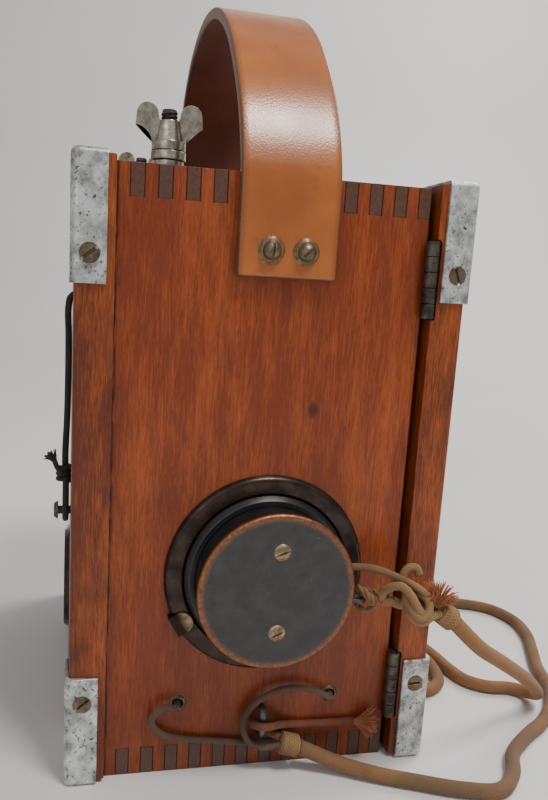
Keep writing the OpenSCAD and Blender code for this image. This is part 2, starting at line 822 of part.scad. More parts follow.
// The wood inside a cap, run past the cap's ends
module cap_inside() {
    r = cover_round * 0.75;
    translate([r, 0])
        square([cap_w + cap_l, cap_l + over]);
    translate([0, r])
        square([cap_w, cap_l + over]);
    translate([r, r])
        circle(r, $fn = small_fn);
}

// A cap's two screws: one in the edge of the cover, one in its face
module at_cap_screws() {
    translate([cap_screw_deep, -cap_t, cap_screw_in])
        to_plus_y() children();
    translate([-cap_t, cap_screw_in, cap_arm / 2])
        to_plus_x() children();
}

module cap_screw_rooms() {
    at_cap_screws() flat_screw_room(flat_head_d, flat_head_h, shank_d, cap_screw_l);
}

module cap_screws(turn) {
    at_cap_screws() flat_screw(flat_head_d, flat_head_h, shank_d, cap_screw_l, turn);
}

// The transmitter's axis: local +Z points out of the front cover
module at_transmitter() {
    translate([front_x, 0, transmitter_z])
        to_minus_x() children();
}

module at_loop_stud() {
    translate([front_x, -y_face + loop_stud_in, loop_stud_z])
        to_minus_x() children();
}

// The hole that the black cord comes out of
module at_loop_hole() {
    translate([front_x, -y_face + loop_stud_in, loop_hole_z])
        children();
}

module front_cover() {
    color(wood_edge)
        difference() {
            at_front() cover_board();
            at_front() at_cover_corners() cap_screw_rooms();
            cover_screw_room();
            at_transmitter()
                translate([0, 0, -cover_t - over])
                    cylinder(d = throat_d, h = cover_t + 2 * over);
            at_loop_stud()
                translate([0, 0, -cover_t * 0.7])
                    cylinder(d = loop_stud_d + 2 * screw_play, h = cover_t, $fn = small_fn);
            at_loop_hole()
                translate([-over, 0, 0])
                    to_plus_x() cylinder(d = black_d + 2, h = cover_t + 2 * over, $fn = small_fn);
        }
}

module front_cover_screws() {
    color(screw_steel)
        at_cover_screws() flat_screw(flat_head_d, flat_head_h, shank_d, cover_screw_l, 25);
}

module front_caps() {
    color(tin_grey)
        at_front() at_cover_corners() corner_cap();
}

module front_cap_screws() {
    color(screw_steel)
        at_front() at_cover_corners() cap_screws($low ? -40 : 37);
}

module door() {
    color(wood_edge)
        difference() {
            at_door() cover_board();
            at_door() at_cover_corners() cap_screw_rooms();
            leaf_recess(true);
            hinge_screw_room(true);
            for (z = hinge_zs)
                translate([hinge_x, hinge_y, z - hinge_l / 2 - 0.4])
                    cylinder(r = notch_r, h = hinge_l + 0.8);
        }
}

module door_caps() {
    color(tin_grey)
        at_door() at_cover_corners() corner_cap();
}

module door_cap_screws() {
    color(screw_steel)
        at_door() at_cover_corners() cap_screws($low ? 4 : 70);
}

// The hinges

// The leaves of one side; the case has the even knuckles and the door the odd ones
module hinge_leaves(to_door) {
    for (z = hinge_zs)
        translate([hinge_x, 0, z - hinge_l / 2])
            difference() {
                union() {
                    translate([to_door ? leaf_gap / 2 : -leaf_gap / 2 - leaf_t, hinge_y, 0])
                        cube([leaf_t, leaf_y1 - hinge_y, hinge_l]);
                    for (k = [0:knuckles - 1])
                        if ((k % 2 == 1) == to_door)
                            translate([0, hinge_y, k * knuckle_l + knuckle_gap / 2])
                                cylinder(d = knuckle_d, h = knuckle_l - knuckle_gap);
                }
                for (k = [0:knuckles - 1])
                    if ((k % 2 == 1) != to_door)
                        translate([0, hinge_y, k * knuckle_l - knuckle_gap / 2])
                            cylinder(r = knuckle_d / 2 + knuckle_gap, h = knuckle_l + knuckle_gap);
                translate([0, hinge_y, -over])
                    cylinder(r = pin_d / 2 + pin_play, h = hinge_l + 2 * over);
            }
}

module hinge_case_leaves() {
    color(steel_dark)
        difference() {
            hinge_leaves(false);
            hinge_screw_room(false);
        }
}

module hinge_door_leaves() {
    color(steel_dark)
        difference() {
            hinge_leaves(true);
            hinge_screw_room(true);
        }
}

module hinge_pins() {
    color(steel_dark)
        for (z = hinge_zs)
            translate([hinge_x, hinge_y, z - hinge_l / 2])
                cylinder(d = pin_d, h = hinge_l);
}

module hinge_case_screws() {
    color(steel_dark)
        at_hinge_screws(false) flat_screw(hinge_head_d, leaf_t, hinge_shank_d, hinge_screw_l);
}

module hinge_door_screws() {
    color(steel_dark)
        at_hinge_screws(true) flat_screw(hinge_head_d, leaf_t, hinge_shank_d, hinge_screw_l);
}

// The strap

// Half a leaning ellipse over the case, from the near side to the far side
function arch(shrink, steps = 36) = [
    for (k = [0:steps])
        let (a = 180 * k / steps)
        [strap_lean * sin(a) - (y_face + strap_t - shrink) * cos(a),
        case_h + (strap_rise - shrink) * sin(a)]
];

module strap() {
    foot = case_h - strap_drop;
    outer = arch(0);
    inner = arch(strap_t);
    outline = concat(
        [[-y_face - strap_t, foot]], outer, [[y_face + strap_t, foot]],
        [[y_face, foot]], [for (k = [len(inner) - 1:-1:0]) inner[k]], [[-y_face, foot]]
    );
    color(leather_tan)
        difference() {
            translate([strap_x - strap_w / 2, 0, 0])
                rotate([90, 0, 90])
                    linear_extrude(strap_w) polygon(outline);
            strap_screw_room(-1);
            strap_screw_room(1);
        }
}

module strap_washers() {
    color(nickel)
        for (side = [-1, 1])
            at_strap_screws(side)
                translate([0, 0, strap_t])
                    difference() {
                        cylinder(d1 = cup_washer_d, d2 = round_head_d + 0.6, h = cup_washer_h,
                            $fn = small_fn);
                        translate([0, 0, -over])
                            cylinder(d = shank_d + 2 * screw_play, h = cup_washer_h + 2 * over,
                                $fn = small_fn);
                    }
}

module strap_screws() {
    reach = strap_screw_l + strap_t + cup_washer_h;
    color(screw_steel)
        for (side = [-1, 1])
            at_strap_screws(side)
                translate([0, 0, strap_t + cup_washer_h]) {
                    round_head(round_head_d, round_head_h, $turn);
                    translate([0, 0, -reach])
                        cylinder(d = shank_d, h = reach + eps, $fn = small_fn);
                }
}

// The binding posts

module post_collars() {
    color(nickel)
        at_posts()
            difference() {
                union() {
                    cylinder(d = collar_d, h = collar_h * 0.4);
                    cylinder(d = collar_d - 2.4, h = collar_h);
                }
                translate([0, 0, -over])
                    cylinder(d = stud_d + 2 * stud_play, h = collar_h + 2 * over);
            }
}

module post_studs() {
    reach = board_t + under_nut_h + 2;
    color(steel_dark)
        at_posts()
            translate([0, 0, -reach])
                cylinder(d = stud_d, h = reach + stud_up);
}

module post_nuts() {
    color(nickel)
        at_posts()
            translate([0, 0, -board_t - under_nut_h])
                difference() {
                    cylinder(d = under_nut_d / cos(30), h = under_nut_h, $fn = 6);
                    translate([0, 0, -over])
                        cylinder(d = stud_d + 2 * stud_play, h = under_nut_h + 2 * over);
                }
}

module clamp_washer(side) {
    translate([-post_x, side * post_y, case_h + washer_z])
        difference() {
            cylinder(d = clamp_washer_d, h = clamp_washer_t);
            translate([0, 0, -over])
                cylinder(d = stud_d + 2 * stud_play, h = clamp_washer_t + 2 * over);
        }
}

// One wing: a round-topped ear whose lower edge is a hollow curve down to the hub
module wing() {
    k = wing_span / 24.7;
    translate([0, wing_t / 2, 0])
        to_minus_y()
            linear_extrude(wing_t)
                difference() {
                    union() {
                        translate([8 * k, 12.6 * k])
                            circle(4 * k, $fn = small_fn);
                        polygon([
                            [stud_d * 0.54, hub_h * 0.28], [6.3 * k, 3 * k], [12.35 * k, 8.4 * k],
                            [12 * k, 12.6 * k],
                            [8 * k, 14 * k], [4 * k, 12.6 * k], [stud_d * 0.54, hub_h]
                        ]);
                    }
                    translate([13.24 * k, 1.24 * k])
                        circle(7.2 * k, $fn = small_fn);
                }
}

module wing_nut(side, turn) {
    translate([-post_x, side * post_y, case_h + nut_z])
        rotate([0, 0, turn])
            difference() {
                union() {
                    cylinder(d = hub_d, h = hub_h * 0.3);
                    cylinder(d1 = hub_d - 0.4, d2 = hub_d - 4.8, h = hub_h);
                    wing();
                    rotate([0, 0, 180]) wing();
                }
                translate([0, 0, -over])
                    cylinder(d = stud_d + 2 * stud_play, h = wing_span);
            }
}

module near_clamp_washer() {
    color(nickel) clamp_washer(-1);
}

module near_wing_nut() {
    color(nickel) wing_nut(-1, wing_turn);
}

module far_clamp_washer() {
    color(nickel) clamp_washer(1);
}

module far_wing_nut() {
    color(nickel) wing_nut(1, 12 - wing_turn);
}

// The receiver cup

module receiver_cup() {
    color(bronze_dark)
        at_receiver()
            rotate_extrude() {
                difference() {
                    union() {
                        translate([cup_r, 0])
                            square([ring_d / 2 - ring_h - cup_r, ring_h]);
                        intersection() {
                            translate([ring_d / 2 - ring_h, 0])
                                circle(ring_h, $fn = small_fn);
                            translate([ring_d / 2 - ring_h - eps, 0])
                                square([ring_h + over, ring_h + over]);
                        }
                    }
                }
                translate([cup_r, -cup_deep - cup_wall])
                    square([cup_wall, cup_deep + cup_wall + eps]);
                translate([8, -cup_deep - cup_wall])
                    square([cup_r - 8 + eps, cup_wall]);
            }
}

module cup_lock_ring() {
    inner = cup_r + cup_wall + cup_play;
    color(brass)
        at_receiver()
            translate([0, 0, -board_t - lock_t])
                difference() {
                    cylinder(r = inner + lock_w, h = lock_t);
                    translate([0, 0, -over])
                        cylinder(r = inner, h = lock_t + 2 * over);
                }
}

module cup_clip() {
    color(bronze_dark)
        at_clip() {
            translate([0, 0, -clip_foot])
                linear_extrude(clip_foot + ring_h + clip_t) clip_foot_shape(0);
            translate([0, 0, ring_h])
                linear_extrude(clip_t)
                    union() {
                        translate([-eps, -clip_w / 2])
                            square([clip_l - clip_end + 2 * eps, clip_w]);
                        intersection() {
                            translate([clip_l - clip_end, -clip_w / 2])
                                square([clip_end, clip_w]);
                            translate([clip_l - clip_r, 0])
                                circle(r = clip_r, $fn = small_fn);
                        }
                    }
        }
}

// The receiver

module tail_legs(extra) {
    for (s = [-1, 1])
        translate([barrel_bore - tail_root, 0, s * tail_w / 2])
            to_plus_x()
                cylinder(d = tail_wire + 2 * extra,
                    h = tail_root + barrel_wall + tail_out - tail_w / 2, $fn = small_fn);
}

module at_tail() {
    at_receiver()
        rotate([0, 0, -tail_angle])
            translate([0, 0, tail_y]) children();
}

module receiver_case() {
    color(rubber_black)
        difference() {
            at_receiver()
                translate([0, 0, barrel_z0])
                    difference() {
                        cylinder(r = barrel_r, h = barrel_z1 - barrel_z0);
                        translate([0, 0, -over])
                            cylinder(r = barrel_bore, h = barrel_z1 - barrel_z0 + 2 * over);
                    }
            at_tail() tail_legs(screw_play);
            at_receiver()
                rotate([0, 0, lead_angle])
                    translate([barrel_bore - over, 0, tail_y])
                        to_plus_x() cylinder(d = lead_d + 0.8, h = barrel_wall + 2 * over, $fn = small_fn);
        }
}

module ear_cap() {
    ear_z1 = ear_out;
    color(rubber_black)
        at_receiver()
            difference() {
                union() {
                    translate([0, 0, ear_z0])
                        cylinder(r = ear_r, h = ear_z1 - ear_z0 - 2);
                    translate([0, 0, ear_z1 - 2])
                        cylinder(r1 = ear_r, r2 = ear_r - 1.6, h = 2);
                }
                translate([0, 0, ledge_z])
                    cylinder(r = barrel_r + ear_play, h = ear_z1 - ledge_z + over);
                translate([0, 0, ear_z0 - over])
                    cylinder(d = ear_hole_d, h = ear_face_t + 2 * over);
                translate([0, 0, ear_z0 - eps])
                    cylinder(r1 = ear_r - 5, r2 = ear_hole_d / 2, h = ear_face_t * 0.5);
            }
}

module diaphragm() {
    color(iron)
        at_receiver()
            translate([0, 0, ledge_z])
                cylinder(r = barrel_r - 0.1, h = diaphragm_t);
}

// Where the back screws go, on the outside of the back disc
module at_back_screws() {
    at_receiver()
        for (a = [87, 272])
            rotate([0, 0, a])
                translate([back_screw_r, 0, receiver_out]) children();
}

module back_screw_room() {
    at_back_screws()
        translate([0, 0, -back_shank_l - screw_play])
            cylinder(d = back_shank_d + 2 * screw_play, h = back_shank_l + over, $fn = small_fn);
}

module receiver_magnet() {
    color(iron)
        difference() {
            at_receiver()
                translate([0, 0, magnet_z0])
                    difference() {
                        cylinder(r = barrel_bore - 0.3, h = magnet_t);
                        translate([0, 0, -over])
                            cylinder(d = magnet_bore, h = magnet_t + 2 * over);
                    }
            back_screw_room();
        }
}

module pole_pieces() {
    yoke_l = magnet_bore + 10;
    color(iron)
        at_receiver() {
            translate([-yoke_l / 2, -pole_d / 2 - 1, yoke_z0])
                cube([yoke_l, pole_d + 2, yoke_t]);
            for (s = [-1, 1])
                translate([s * pole_gap / 2, 0, pole_z0])
                    cylinder(d = pole_d, h = yoke_z0 - pole_z0 + eps, $fn = small_fn);
        }
}

module receiver_coils() {
    color(copper)
        at_receiver()
            for (s = [-1, 1])
                translate([s * pole_gap / 2, 0, pole_z0 + 1])
                    difference() {
                        cylinder(d = coil_d, h = yoke_z0 - pole_z0 - 1);
                        translate([0, 0, -over])
                            cylinder(d = pole_d + 2 * screw_play, h = yoke_z0 - pole_z0 + over,
                                $fn = small_fn);
                    }
}

module back_disc() {
    r = disc_d / 2;
    color(slate)
        difference() {
            at_receiver()
                translate([0, 0, barrel_z1])
                    rotate_extrude() {
                        square([r - disc_round, disc_t]);
                        square([r, disc_t - disc_round]);
                        translate([r - disc_round, disc_t - disc_round])
                            circle(disc_round, $fn = small_fn);
                    }
            back_screw_room();
        }
}

module back_screws() {
    color(brass)
        at_back_screws() {
            round_head(back_head_d, back_head_h, -67);
            translate([0, 0, -back_shank_l])
                cylinder(d = back_shank_d, h = back_shank_l + eps, $fn = small_fn);
        }
}

module tail_loop() {
    color(nickel)
        at_tail() {
            tail_legs(0);
            translate([barrel_r + tail_out - tail_w / 2, 0, 0])
                rotate([90, 0, 0])
                    rotate([0, 0, -90])
                        rotate_extrude(angle = 180)
                            translate([tail_w / 2, 0])
                                circle(d = tail_wire, $fn = small_fn);
        }
}

// The cords

module receiver_lead() {
    color(cord_tan) cord(receiver_lead_route, lead_d, [0, 0, 1]);
}

module receiver_stay() {
    color(cord_tan) cord(receiver_stay_route, stay_d * 0.7, [1, 0.3, 0.2]);
}

module cord_knot() {
    color(cord_tan)
        translate(knot_at) sphere(d = knot_d, $fn = small_fn);
}

module whipping(at, turn) {
    translate(at)
        rotate([0, turn, 0])
            translate([0, 0, -whip_l / 2])
                cylinder(d = whip_d, h = whip_l, $fn = small_fn);
}

module upper_whipping() {
    color(cord_tan) whipping(whip_up_at, whip_up_turn);
}

module main_cord() {
    color(cord_orange) cord(main_route, main_d, [0, 0, 1]);
}

module lower_whipping() {
    color(cord_tan) whipping(whip_low_at, whip_low_turn);
}

module left_lead() {
    color(cord_tan) cord(left_lead_route, lead_d * 0.9, [0.2, 0.1, 1]);
}

module right_lead() {
    color(cord_tan) cord(right_lead_route, lead_d * 0.9, [0.2, 0.1, 1]);
}

module lower_stay() {
    color(cord_orange) cord(lower_stay_route, stay_d, [0, 0, 1]);
}

module eyelets() {
    bore = eyelet_bore;
    color(nickel)
        at_eyelets()
            difference() {
                union() {
                    cylinder(d1 = eyelet_d, d2 = eyelet_d - 1.4, h = eyelet_t);
                    translate([0, 0, -board_t - eyelet_t])
                        cylinder(d = bore + 2 * eyelet_t, h = board_t + eyelet_t + eps);
                }
                translate([0, 0, -board_t - eyelet_t - over])
                    cylinder(d = bore, h = board_t + 2 * eyelet_t + 2 * over);
            }
}

module staple() {
    bow = 3;
    straight = staple_out - staple_wire / 2 - bow;
    color(nickel)
        at_staple()
            rotate([0, -90, 0]) {
                for (s = [-1, 1]) {
                    translate([s * staple_w / 2, -straight, 0])
                        to_plus_y() cylinder(d = staple_wire, h = straight + staple_deep, $fn = small_fn);
                    translate([s * (staple_w / 2 - bow), -straight, 0])
                        rotate([0, 0, s > 0 ? -90 : 180])
                            rotate_extrude(angle = 90)
                                translate([bow, 0])
                                    circle(d = staple_wire, $fn = small_fn);
                }
                translate([-staple_w / 2 + bow, -straight - bow, 0])
                    to_plus_x() cylinder(d = staple_wire, h = staple_w - 2 * bow, $fn = small_fn);
            }
}

// The front cover's fittings

module faceplate() {
    color(bronze_dark)
        at_transmitter()
            difference() {
                cylinder(d1 = faceplate_d, d2 = faceplate_d - 2 * faceplate_t * 0.5, h = faceplate_t);
                translate([0, 0, -over]) {
                    cylinder(d = sound_hole_d, h = faceplate_t + 2 * over, $fn = small_fn);
                    for (ring = [1, 2], k = [0:6 * ring - 1])
                        rotate([0, 0, 60 * k / ring])
                            translate([ring * sound_hole_gap, 0, 0])
                                cylinder(d = sound_hole_d, h = faceplate_t + 2 * over, $fn = small_fn);
                }
            }
}

module transmitter_housing() {
    r = housing_d / 2;
    color(brass)
        at_transmitter()
            translate([0, 0, -cover_t])
                rotate_extrude() {
                    translate([r, -housing_wall])
                        square([housing_flange, housing_wall]);
                    translate([r, -housing_deep])
                        square([housing_wall, housing_deep]);
                    translate([0, -housing_deep])
                        square([r + eps, housing_wall]);
                }
}

module transmitter_diaphragm() {
    color(iron)
        at_transmitter()
            translate([0, 0, -cover_t - diaphragm_t])
                cylinder(d = housing_d - 0.4, h = diaphragm_t);
}

module carbon_button() {
    color(brass)
        at_transmitter()
            translate([0, 0, -cover_t - housing_deep + housing_wall])
                cylinder(d = button_d, h = housing_deep - housing_wall - diaphragm_t);
}

module loop_stud() {
    color(steel_dark)
        at_loop_stud() {
            translate([0, 0, -cover_t * 0.7 + screw_play])
                cylinder(d = loop_stud_d, h = cover_t * 0.7 - screw_play + loop_stud_out - 1.4,
                    $fn = small_fn);
            translate([0, 0, loop_stud_out - 1.5])
                cylinder(d1 = loop_stud_head, d2 = loop_stud_head - 2, h = 1.5, $fn = small_fn);
        }
}

// Out of its hole, down the front and once round the stud
module black_cord() {
    hole = [front_x, -y_face + loop_stud_in, loop_hole_z];
    stud = [front_x - black_d / 2 - 0.6, -y_face + loop_stud_in, loop_stud_z];
    turn = loop_stud_d / 2 + black_d / 2 + 0.4;
    route = concat(
        [for (p = black_route_in) hole + p],
        [[stud[0], stud[1] + turn, stud[2] + 8]],
        [for (a = [0:-45:-180]) [stud[0], stud[1] + turn * cos(a), stud[2] + turn * sin(a)]],
        [[stud[0], stud[1] - turn, stud[2] + 6], [stud[0], stud[1] - turn + 0.4, stud[2] + 13]]
    );
    color(cord_black) cord(route, black_d, [0.05, 1, 0.05]);
}

// Inside the case

module dry_cells() {
    for (y = cell_ys)
        translate([cell_x, y, board_t]) {
            color(card_red) cylinder(r = cell_r, h = cell_h);
            color(brass) translate([0, 0, cell_h - eps]) {
                cylinder(d = terminal_d + 8, h = 3);
                cylinder(d = terminal_d, h = terminal_h, $fn = small_fn);
                translate([zinc_in, 0, 0])
                    cylinder(d = terminal_d * 0.6, h = terminal_h, $fn = small_fn);
            }
        }
}

module cell_cleat() {
    color(wood_dark)
        translate([cleat_x1 - cleat_t, cell_ys[0] - cell_r, board_t])
            cube([cleat_t, cell_ys[1] - cell_ys[0] + 2 * cell_r, cleat_h]);
}

module induction_coil() {
    translate([spool_x, 0, spool_z]) {
        color(wood_dark)
            for (s = [-1, 1])
                translate([-spool_side / 2, s * (spool_l - spool_end) / 2 - spool_end / 2, -spool_side / 2])
                    cube([spool_side, spool_end, spool_side]);
        color(copper)
            translate([0, spool_l / 2 - spool_end + eps, 0])
                to_minus_y() cylinder(d = winding_d, h = spool_l - 2 * spool_end + 2 * eps);
        color(iron)
            translate([0, spool_l / 2 + 2, 0])
                to_minus_y() cylinder(d = core_d, h = spool_l + 4);
    }
}

module condenser() {
    color(tin_grey)
        translate([condenser_x, -condenser_l / 2, condenser_z])
            cube([condenser_w, condenser_l, condenser_h]);
}

module inner_wires() {
    color(cord_black)
        for (route = wire_routes)
            cord(route, wire_d, [0.31, 0.17, 0.05]);
}

near_panel();
far_panel();
top_board();
bottom_board();
front_cover();
front_cover_screws();
front_caps();
front_cap_screws();
door();
door_caps();
door_cap_screws();
hinge_case_leaves();
hinge_door_leaves();
hinge_pins();
hinge_case_screws();
hinge_door_screws();
strap();
strap_washers();
strap_screws();
post_collars();
post_studs();
post_nuts();
near_clamp_washer();
near_wing_nut();
far_clamp_washer();
far_wing_nut();
receiver_cup();
cup_lock_ring();
cup_clip();
receiver_case();
ear_cap();
diaphragm();
receiver_magnet();
pole_pieces();
receiver_coils();
back_disc();
back_screws();
tail_loop();
receiver_lead();
receiver_stay();
cord_knot();
upper_whipping();
main_cord();
lower_whipping();
left_lead();
right_lead();
lower_stay();
eyelets();
staple();
faceplate();
transmitter_housing();
transmitter_diaphragm();
carbon_button();
loop_stud();
black_cord();
dry_cells();
cell_cleat();
induction_coil();
condenser();
inner_wires();
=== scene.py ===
# %% [markdown]
# # A line test telephone, dressed in Blender
# A line worker carried this wooden set on a strap, clipped two wires to its posts and listened with
# the receiver that sits in the cup. Its boards, hinges, screws and works come as a packed
# construction in metres. Blender adds what a drawing leaves out: varnish, leather, worn plate and cord.

import json
import math
import random

import bmesh
import bpy
from mathutils import Matrix, Vector

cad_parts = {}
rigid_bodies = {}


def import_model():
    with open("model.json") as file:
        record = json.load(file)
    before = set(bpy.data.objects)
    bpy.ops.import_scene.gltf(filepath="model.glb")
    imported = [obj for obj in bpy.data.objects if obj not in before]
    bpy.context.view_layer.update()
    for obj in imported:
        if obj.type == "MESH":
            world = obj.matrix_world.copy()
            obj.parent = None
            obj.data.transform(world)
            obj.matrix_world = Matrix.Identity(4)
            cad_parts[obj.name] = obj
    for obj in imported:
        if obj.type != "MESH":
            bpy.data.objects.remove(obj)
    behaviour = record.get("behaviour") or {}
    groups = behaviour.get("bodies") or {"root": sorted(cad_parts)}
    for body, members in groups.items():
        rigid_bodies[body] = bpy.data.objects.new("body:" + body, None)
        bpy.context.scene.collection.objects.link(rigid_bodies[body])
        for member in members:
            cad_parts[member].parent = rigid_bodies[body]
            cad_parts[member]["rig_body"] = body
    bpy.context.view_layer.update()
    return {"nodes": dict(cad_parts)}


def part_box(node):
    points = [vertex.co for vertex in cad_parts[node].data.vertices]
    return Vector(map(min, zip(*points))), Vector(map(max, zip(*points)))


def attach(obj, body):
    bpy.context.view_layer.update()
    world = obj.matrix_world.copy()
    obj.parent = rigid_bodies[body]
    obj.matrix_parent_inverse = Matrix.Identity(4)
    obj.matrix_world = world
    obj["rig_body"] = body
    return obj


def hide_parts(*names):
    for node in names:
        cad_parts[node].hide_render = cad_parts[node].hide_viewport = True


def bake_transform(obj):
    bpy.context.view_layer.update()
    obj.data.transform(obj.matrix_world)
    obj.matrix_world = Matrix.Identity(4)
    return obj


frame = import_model()
nodes = frame["nodes"]
MM = 0.001

# %% [markdown]
# ## The camera
# The photograph was taken close up, a little to the left and from just above the middle of the set.
# The view could be matched by eye. Here it was solved from the corner joints, whose fingers are all
# one width, so the camera is typed in as a place, three directions and a focal length.
# The picture is cropped off centre, which is what the lens shift stands for.

# %% Place the camera
PHOTO_WIDE, PHOTO_HIGH, SENSOR_MM = 548, 800, 36
focal_px = 774.57
centre_px = (250.641, 434.134)
camera_at = (-0.07127, -0.36302, 0.18960)
right = Vector((0.973734, -0.220699, 0.055988))
down = Vector((0.012283, -0.194623, -0.980801))
ahead = Vector((0.227358, 0.955727, -0.186800))
turned = Matrix((right, -down, -ahead)).transposed()

bpy.ops.object.select_all(action="DESELECT")
bpy.ops.object.camera_add(location=camera_at, rotation=turned.to_euler())
camera = bpy.context.object
camera.name = "photo_camera"
camera.data.sensor_width = SENSOR_MM
camera.data.lens = focal_px * SENSOR_MM / PHOTO_HIGH
camera.data.shift_x = (PHOTO_WIDE / 2 - centre_px[0]) / PHOTO_HIGH
camera.data.shift_y = (centre_px[1] - PHOTO_HIGH / 2) / PHOTO_HIGH
camera.data.clip_start = 0.01
camera.data.dof.use_dof = False
bpy.context.scene.camera = camera
print("lens", round(camera.data.lens, 2), "mm, shift",
      round(camera.data.shift_x, 4), round(camera.data.shift_y, 4))

# %% [markdown]
# ## Nodes and colours
# Every finish below is a small tree of shader nodes. A new material already has a shader linked to its
# output, and one helper adds each further node, sets its properties and fills or links its sockets.
# Colours are written as on a paint chart, in sRGB hex, and another helper turns them into the linear
# values that a renderer adds and multiplies.

# %% Helpers for the finishes
def linear(colour):
    """The linear RGBA value of an sRGB hex colour."""
    parts = [int(colour[i:i + 2], 16) / 255 for i in (1, 3, 5)]
    return tuple(c / 12.92 if c <= 0.04045 else ((c + 0.055) / 1.055) ** 2.4 for c in parts) + (1.0,)


def fill(tree, node, sockets):
    """Fills a node's sockets. Each takes a value, an output of another node, or a node, which then gives
    the first output that it shows."""
    for name, value in sockets.items():
        if isinstance(value, bpy.types.Node):
            value = next(output for output in value.outputs if output.enabled)
        if isinstance(value, bpy.types.NodeSocket):
            tree.links.new(value, node.inputs[name])
        else:
            node.inputs[name].default_value = value


def put(tree, kind, sockets=None, stops=(), **settings):
    """Adds one shader node with its settings and sockets; stops are the two ends of a colour ramp."""
    made = tree.nodes.new("ShaderNode" + kind)
    for name, value in settings.items():
        setattr(made, name, value)
    fill(tree, made, sockets or {})
    for number, (where, shade) in enumerate(stops):
        made.color_ramp.elements[number].position = where
        made.color_ramp.elements[number].color = linear(shade)
    return made


def blank(name):
    """A new material with its tree, and the place on the piece that its patterns read."""
    made = bpy.data.materials.new(name)
    made.use_nodes = True
    return made, made.node_tree, put(made.node_tree, "TexCoord").outputs["Object"]


def surface(made, sockets):
    """Fills sockets of the shader that a material starts with."""
    fill(made.node_tree, made.node_tree.nodes["Principled BSDF"], sockets)


def per_metre(size_mm):
    """The scale of a pattern whose cells have this size."""
    return 1 / (size_mm * MM)


print("deep wood red is", [round(c, 3) for c in linear("#7a3110")])

# %% [markdown]
# ## Floor and light
# The set stands on a pale table top that sweeps up into a backdrop with no line between them.
# A plane is extruded at its far edge and the fold is bevelled wide. A small panel overhead, in front and
# a little to the right, gives the white streak on the bend of the strap. A weak broad panel at the front
# left keeps the shaded wood readable, and a third one behind, on the right, lights the backdrop.

# %% Select pieces, or parts of one by place
def only(*pieces):
    """Selects these pieces alone and makes the first one active."""
    bpy.ops.object.select_all(action="DESELECT")
    for piece in pieces:
        piece.select_set(True)
    bpy.context.view_layer.objects.active = pieces[0]


def pick(piece, what, test):
    """In edit mode, selects only the edges or faces whose middle passes a test."""
    bpy.ops.mesh.select_mode(type=what)
    bpy.ops.mesh.select_all(action="DESELECT")
    mesh = bmesh.from_edit_mesh(piece.data)
    for item in {"EDGE": mesh.edges, "FACE": mesh.faces}[what]:
        middle = sum((v.co for v in item.verts), Vector()) / len(item.verts)
        if test(middle, item):
            item.select_set(True)
    mesh.select_flush_mode()
    bmesh.update_edit_mesh(piece.data)


print("helpers that select:", only.__name__, pick.__name__)

# %% Sweep the floor up into a backdrop
floor_wide, floor_back, wall_high, fold = 40, 2.1, 3, 0.8
near_back = floor_back - 0.1
bpy.ops.object.select_all(action="DESELECT")
bpy.ops.mesh.primitive_plane_add(size=floor_wide, location=(0, floor_back - floor_wide / 2, 0))
floor = bpy.context.object
floor.name = "table_and_backdrop"
bpy.ops.object.transform_apply(location=True)
bpy.ops.object.mode_set(mode="EDIT")
pick(floor, "EDGE", lambda at, edge: at.y > near_back)
bpy.ops.mesh.extrude_region_move(TRANSFORM_OT_translate={"value": (0, 0, wall_high)})
pick(floor, "EDGE", lambda at, edge: at.y > near_back and at.z < 0.01 and abs(at.x) < 0.1)
bpy.ops.mesh.bevel(offset=fold, segments=20, affect="EDGES")
bpy.ops.object.mode_set(mode="OBJECT")
bpy.ops.object.shade_smooth()

# A painted table top: even and matt, so it shows no pattern of its own.
paint, tree, here = blank("matt_white_table_paint")
cloud = put(tree, "TexNoise", {"Vector": here, "Scale": 3, "Detail": 2})
shade = put(tree, "ValToRGB", {0: cloud}, [(0.3, "#e0dedb"), (0.7, "#e5e3e0")])
surface(paint, {"Base Color": shade, "Roughness": 0.55})
floor.data.materials.append(paint)
print("floor and backdrop:", len(floor.data.polygons), "faces")

# %% Hang the lights
def soft_panel(name, at, towards, wide, watts, tint):
    """A square soft light panel that faces a point."""
    bpy.ops.object.light_add(type="AREA", location=at)
    panel = bpy.context.object
    panel.name = name
    panel.rotation_euler = (Vector(towards) - Vector(at)).to_track_quat("-Z", "Y").to_euler()
    panel.data.size = wide
    panel.data.energy = watts
    panel.data.color = linear(tint)[:3]


soft_panel("ceiling_panel", (0.30, -0.58, 1.34), (0.0, -0.05, 0.15), 0.34, 12.5, "#fffaf2")
soft_panel("window_panel", (-1.1, -1.5, 1.0), (0.0, 0.0, 0.12), 1.3, 5.4, "#f4f7ff")
soft_panel("backdrop_panel", (1.5, 0.9, 1.6), (0.6, 1.0, 0.0), 1.2, 34, "#fffcf7")

world = bpy.data.worlds.new("studio_air")
bpy.context.scene.world = world
world.use_nodes = True
fill(world.node_tree, world.node_tree.nodes["Background"], {"Color": linear("#e9eaec"), "Strength": 0.46})

# %% [markdown]
# ## Cords
# The receiver hangs on a braided cotton cord. A curve with a round bevel would show its route, but a
# braid needs a pattern that turns round the cord and runs along it. So each cord is swept as a tube
# with its own map: once round is one unit, and along it the same length is one unit too.
# The routes repeat the construction's own points, smoothed by a curve that passes through them all.

